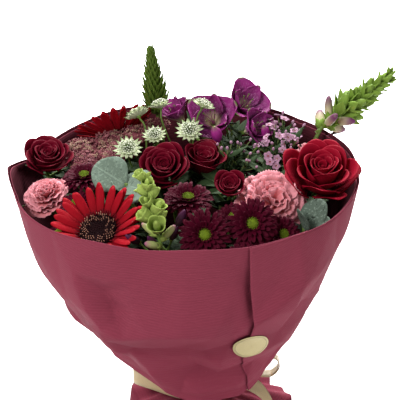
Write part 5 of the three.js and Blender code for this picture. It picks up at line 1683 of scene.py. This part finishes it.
class BOUQUET_OT_paper(bpy.types.Operator):
    """Two sheets of ribbed paper round the blooms, and the gathered skirt below the tie."""

    bl_idname = "bouquet.paper"
    bl_label = "Paper"

    def execute(self, context):
        base = tint("paper")
        edge = (0.27, 0.05, 0.08)
        outer = paper_finish("paper_outer", base, edge)
        # Painted shade: the skirt is the same paper painted darker, for the shade it lies in under the wrap.
        gathered = paper_finish("paper_gathered", shade(base, 0.8), edge)
        # Painted shade: the inner paper is the same paper painted at about a third of its colour, for the
        # shade inside the bowl; it covers the faces turned towards the blooms and the cut edges.
        inner = paper_finish("paper_inner", shade(base, 0.34), shade(edge, 0.7))
        paper_sheet("paper_inner_sheet", lining_grid(), [inner, outer], "paper_inner", "paper_lining",
                    ring=True)
        paper_sheet("paper_outer_sheet", collar_grid(), [inner, outer], "paper_outer", "paper_collar")
        paper_sheet("paper_gathered_skirt", skirt_grid(), [gathered], "paper_outer", "paper_skirt",
                    ring=True)
        return {"FINISHED"}


# The ribbon: its band's radius, the middle of its knot, and its loops and tails as lines from the knot.
BAND_R = TIE_PAPER_R + 2.2
KNOT = Vector((4, -BAND_R - 3.5, TIE_Z))
FLAT_LOOP = ((0, 0, 0), (-34, -3, 4), (-66, 6, 10), (-86, 14, 13), (-84, 22, 10), (-46, 8, 2), (-2, 1, 0))
OPEN_LOOP = ((0, 0, 0), (26, -2, 10), (50, 10, 18), (68, 16, 16), (77, 20, 26), (70, 20, 37), (54, 14, 36),
             (32, 6, 20), (2, 1, 0))
TAILS = (((0, -1, 0), (14, -16, 16), (34, -28, 34), (60, -33, 17), (80, -48, -30), (88, -54, -84)),
         ((0, -1, 0), (-15, -30, 4), (-29, -58, -3), (-39, -82, -36), (-43, -88, -84)))
RIBBON_THICK = 0.6

# The twine: the radius of its turns, its own radius, how high the turns stand, and how many there are.
TWINE_TURN_R, TWINE_R, TWINE_TALL, TWINE_TURNS = 19.7, 0.95, 5.4, 3


def satin_finish(base):
    """Satin with a fine warp, a darker hem and a soft sheen."""
    made = Finish("satin_ribbon", 0.34, Sheen_Weight=0.2, Sheen_Roughness=0.3, Anisotropic=0.5,
                  Specular_IOR_Level=0.4)
    _, across, _ = made.mark()
    warp = (across * 46 * TAU).sine()
    hem = across.from_middle().between(0.86, 0.92)
    body = made.mix(shade(base, 0.82), shade(base, 1.0), made.noise(40, 2))
    body = made.mix(body, shade(base, 0.66), warp.between(0.3, 1.0) * 0.3 + hem * 0.4)
    made.set("Base Color", body)
    made.set("Roughness", made.noise(300) * 0.12 + 0.34)
    return made.bump(warp * 0.4 + hem + made.noise(50) * 0.8, 0.15 * MM, 0.5)


def twine_finish():
    """Jute, its strands twisted round each other."""
    made = Finish("twine", 0.85, Sheen_Weight=0.3, Specular_IOR_Level=0.2)
    along, across, _ = made.mark()
    twist = ((along * 60 + across) * TAU).sine()
    made.set("Base Color", made.mix((0.22, 0.14, 0.06), (0.48, 0.34, 0.17), twist * 0.5 + 0.5))
    return made.bump(twist + made.noise(800), 0.3 * MM, 0.8)


def ribbon_strip(skin, line, wide, tilt):
    """A strip of ribbon along a line from the knot, as wide across as given and leaning back by a tilt."""
    path = smooth_line([KNOT + Vector(p) for p in line], 9)
    grid = []
    for k, point in enumerate(path):
        share = k / (len(path) - 1)
        pinch = min(1.0, 0.55 + 3.2 * share)
        across = Vector((0, sin(tilt), cos(tilt))) * wide * pinch
        hollow = Vector((0, 0.8, 0)) * (1 if share < 0.9 else 0)
        grid.append([point + across * (j / 4 - 0.5) + hollow * (1 - abs(j - 2) / 2) for j in range(5)])
    skin.blade(np.array(grid), RIBBON_THICK)


def ribbon_band(wide):
    """The turn of ribbon round the gathers at the tie."""
    def point(v, angle):
        radius = BAND_R + 0.5 * cos(GATHERS * angle) * abs(v)
        return (radius * cos(angle), radius * sin(angle), TIE_Z + v * wide / 2)

    return grid_of(np.linspace(-1, 1, 9), circle(72), point)


def ribbon_knot():
    """The puckered knot of the bow."""
    def point(v, angle):
        pucker = 1 + 0.06 * cos(6 * angle + 2 * v)
        return (KNOT.x + 7 * cos(angle) * pucker, KNOT.y + 4.4 * sin(angle) * pucker,
                KNOT.z + 9.2 * v + 0.5 * sin(3 * angle))

    return grid_of(np.linspace(-1, 1, 11), circle(28), point)


class BOUQUET_OT_ribbon(bpy.types.Operator):
    """The satin ribbon with its bow, and the turns of twine under the paper."""

    bl_idname = "bouquet.ribbon"
    bl_label = "Ribbon and twine"

    def execute(self, context):
        satin = satin_finish(tint("ribbon"))
        wide = sizes().ribbon_wide / MM
        skin = Skin()
        skin.blade(ribbon_band(wide), RIBBON_THICK, ring=True)
        ribbon_strip(skin, FLAT_LOOP, wide, 0)
        ribbon_strip(skin, OPEN_LOOP, 0.9 * wide, 1.7)
        for tail in TAILS:
            ribbon_strip(skin, tail, wide - 2, 0.7)
        skin.blade(ribbon_knot(), 0.8, ring=True)
        made = skin.piece("ribbon_bow", [satin], "satin_ribbon", "ribbon")

        turned = TWINE_TURNS * TAU
        line = [(TWINE_TURN_R * cos(a), TWINE_TURN_R * sin(a), TIE_Z + TWINE_TALL * (a / turned - 0.5))
                for a in np.linspace(0, turned, 36 * TWINE_TURNS)]
        cordage = Skin()
        cordage.tube(line, TWINE_R, 8)
        cordage.piece("twine_turns", [twine_finish()], "twine", "binding_twine")
        return {"FINISHED"}


# Where the seal lies on the paper, how wide and high it is, and how far it is turned.
SEAL_BEARING, SEAL_Z = -62, 256
SEAL_WIDE, SEAL_HIGH, SEAL_TURNED = 50, 32, -37


def foil_finish(gold):
    """Gold foil with a darker embossed border."""
    made = Finish("gold_foil", 0.5, Metallic=0.6, Specular_IOR_Level=0.3)
    along, _, _ = made.mark()
    rim = 1 - (along - 0.12).maths("ABSOLUTE").between(0.01, 0.045)
    body = made.mix(shade(gold, 0.86), gold, made.noise(120, 3))
    made.set("Base Color", made.mix(body, shade(gold, 0.55), rim * 0.7))
    made.set("Roughness", made.noise(500, 2) * 0.25 + 0.4)
    return made.bump(made.noise(700, 2), 0.1 * MM, 0.4)


def bell(x, middle, spread):
    return exp(-((x - middle) / spread) ** 2)


def seal_grid():
    """Rings over the oval, from its edge in, laid on the folds of the paper."""
    spin = radians(SEAL_TURNED)

    def point(share, a):
        long, short = share * SEAL_WIDE / 2 * cos(a), share * SEAL_HIGH / 2 * sin(a)
        x, y = long * cos(spin) - short * sin(spin), long * sin(spin) + short * cos(spin)
        border = 0.6 * bell(share, 0.88, 0.04) + 0.35 * bell(share, 0.77, 0.025)
        bead = 0.12 * cos(36 * a) * bell(share, 0.88, 0.05)
        bearing, z = SEAL_BEARING + degrees(x / 150), SEAL_Z + y
        return on_bowl(bearing, z, 8.9 + border + bead + seam_gap(bearing, z))

    return grid_of(np.linspace(0, 1, 33).clip(0.02)[::-1], circle(72), point)


class BOUQUET_OT_seal(bpy.types.Operator):
    """A plain oval of gold foil with an embossed border."""

    bl_idname = "bouquet.seal"
    bl_label = "Foil seal"

    def execute(self, context):
        skin = Skin()
        skin.blade(seal_grid(), 0.3, ring=True)
        skin.piece("foil_oval", [foil_finish(tint("foil"))], "gold_foil", "foil_seal")
        return {"FINISHED"}


# The stage, in metres and watts.

FLOOR_SIZE = 12
WORLD_LIGHT = 0.3
LIT_MIDDLE = (-0.02, 0, 0.33)

# Each light's place, the point it faces, its diameter, its power and how far it spreads.
LIGHTS = {
    "key": ((-1.4, -1.5, 2.2), LIT_MIDDLE, 1.0, 64, pi),
    "fill": ((1.8, -1.6, 1.3), LIT_MIDDLE, 1.6, 14, pi),
    "back": ((0.2, 2.4, 2.2), (0, 1.2, 0), 1.6, 95, radians(80)),
}

# The camera: its lens and sensor in millimetres, its aim, its angle above the ground, and how far it sees.
CAMERA_LENS, CAMERA_SENSOR = 207, 36
CAMERA_AIM = Vector((-0.009, -0.013, 0.365))
CAMERA_ELEVATION = radians(28.65)
CAMERA_CLIP = 30


def aim_at(thing, at, toward):
    """Places a light or a camera and turns it to a point."""
    thing.location = at
    thing.rotation_euler = (Vector(toward) - thing.location).to_track_quat("-Z", "Y").to_euler()
    bpy.context.collection.objects.link(thing)


def area_light(name, at, toward, size, watts, spread):
    data = bpy.data.lights.new(name, "AREA")
    data.shape, data.size, data.energy, data.spread = "DISK", size, watts, spread
    aim_at(bpy.data.objects.new(name, data), at, toward)


class BOUQUET_OT_stage(bpy.types.Operator):
    """A pale floor, soft studio light, and the camera at the photograph's angle."""

    bl_idname = "bouquet.stage"
    bl_label = "Stage"

    def execute(self, context):
        floor = Finish("floor", 0.9, Specular_IOR_Level=0.1)
        floor.set("Base Color", floor.mix((0.86, 0.86, 0.86), (0.9, 0.9, 0.9), floor.noise(2)))
        bpy.ops.mesh.primitive_plane_add(size=FLOOR_SIZE)
        plane = context.object
        plane.name = "floor"
        plane.data.materials.append(floor.material)
        plane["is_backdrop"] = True
        world = bpy.data.worlds.new("studio")
        world.use_nodes = True
        background = world.node_tree.nodes["Background"]
        background.inputs["Color"].default_value = (1, 1, 1, 1)
        background.inputs["Strength"].default_value = WORLD_LIGHT
        context.scene.world = world
        context.scene.view_settings.view_transform = "Standard"
        for name, row in LIGHTS.items():
            area_light(name, *row)
        camera = bpy.data.objects.new("camera", bpy.data.cameras.new("camera"))
        camera.data.sensor_width, camera.data.lens = CAMERA_SENSOR, CAMERA_LENS
        camera.data.clip_end = CAMERA_CLIP
        way = Vector((-0.0065, -cos(CAMERA_ELEVATION), sin(CAMERA_ELEVATION)))
        aim_at(camera, CAMERA_AIM + way * sizes().camera_reach, CAMERA_AIM)
        context.scene.camera = camera
        return {"FINISHED"}


OPERATORS = (BOUQUET_OT_stage, BOUQUET_OT_paper, BOUQUET_OT_ribbon, BOUQUET_OT_seal, BOUQUET_OT_gerberas,
             BOUQUET_OT_roses, BOUQUET_OT_carnations, BOUQUET_OT_chrysanthemums, BOUQUET_OT_snapdragons,
             BOUQUET_OT_green_spike, BOUQUET_OT_peruvian_lily, BOUQUET_OT_masterwort, BOUQUET_OT_stonecrop,
             BOUQUET_OT_waxflower, BOUQUET_OT_foliage)


class BOUQUET_PT_panel(bpy.types.Panel):
    """Lists the pieces of the bouquet, with the sizes and colours that shape them."""

    bl_idname = "BOUQUET_PT_panel"
    bl_label = "Bouquet"
    bl_space_type = "VIEW_3D"
    bl_region_type = "UI"
    bl_category = "Bouquet"

    def draw(self, context):
        column = self.layout.column()
        for group in (context.scene.bouquet_sizes, context.scene.bouquet_colours):
            for name in group.bl_rna.properties.keys():
                if name not in {"rna_type", "name"}:
                    column.prop(group, name)
        for operator in OPERATORS:
            column.operator(operator.bl_idname)


CLASSES = (BouquetSizes, BouquetColours, *OPERATORS, BOUQUET_PT_panel)


def register():
    for made in CLASSES:
        bpy.utils.register_class(made)
    bpy.types.Scene.bouquet_sizes = PointerProperty(type=BouquetSizes)
    bpy.types.Scene.bouquet_colours = PointerProperty(type=BouquetColours)


def unregister():
    del bpy.types.Scene.bouquet_colours
    del bpy.types.Scene.bouquet_sizes
    for made in reversed(CLASSES):
        bpy.utils.unregister_class(made)


def main():
    register()
    for operator in OPERATORS:
        group, name = operator.bl_idname.split(".")
        getattr(getattr(bpy.ops, group), name)()
    plain = lambda box: [[float(x) for x in corner] for corner in box]
    {"cad": plain(CAD_BOX), "visual": plain(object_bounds())}


if __name__ == "__main__":
    main()
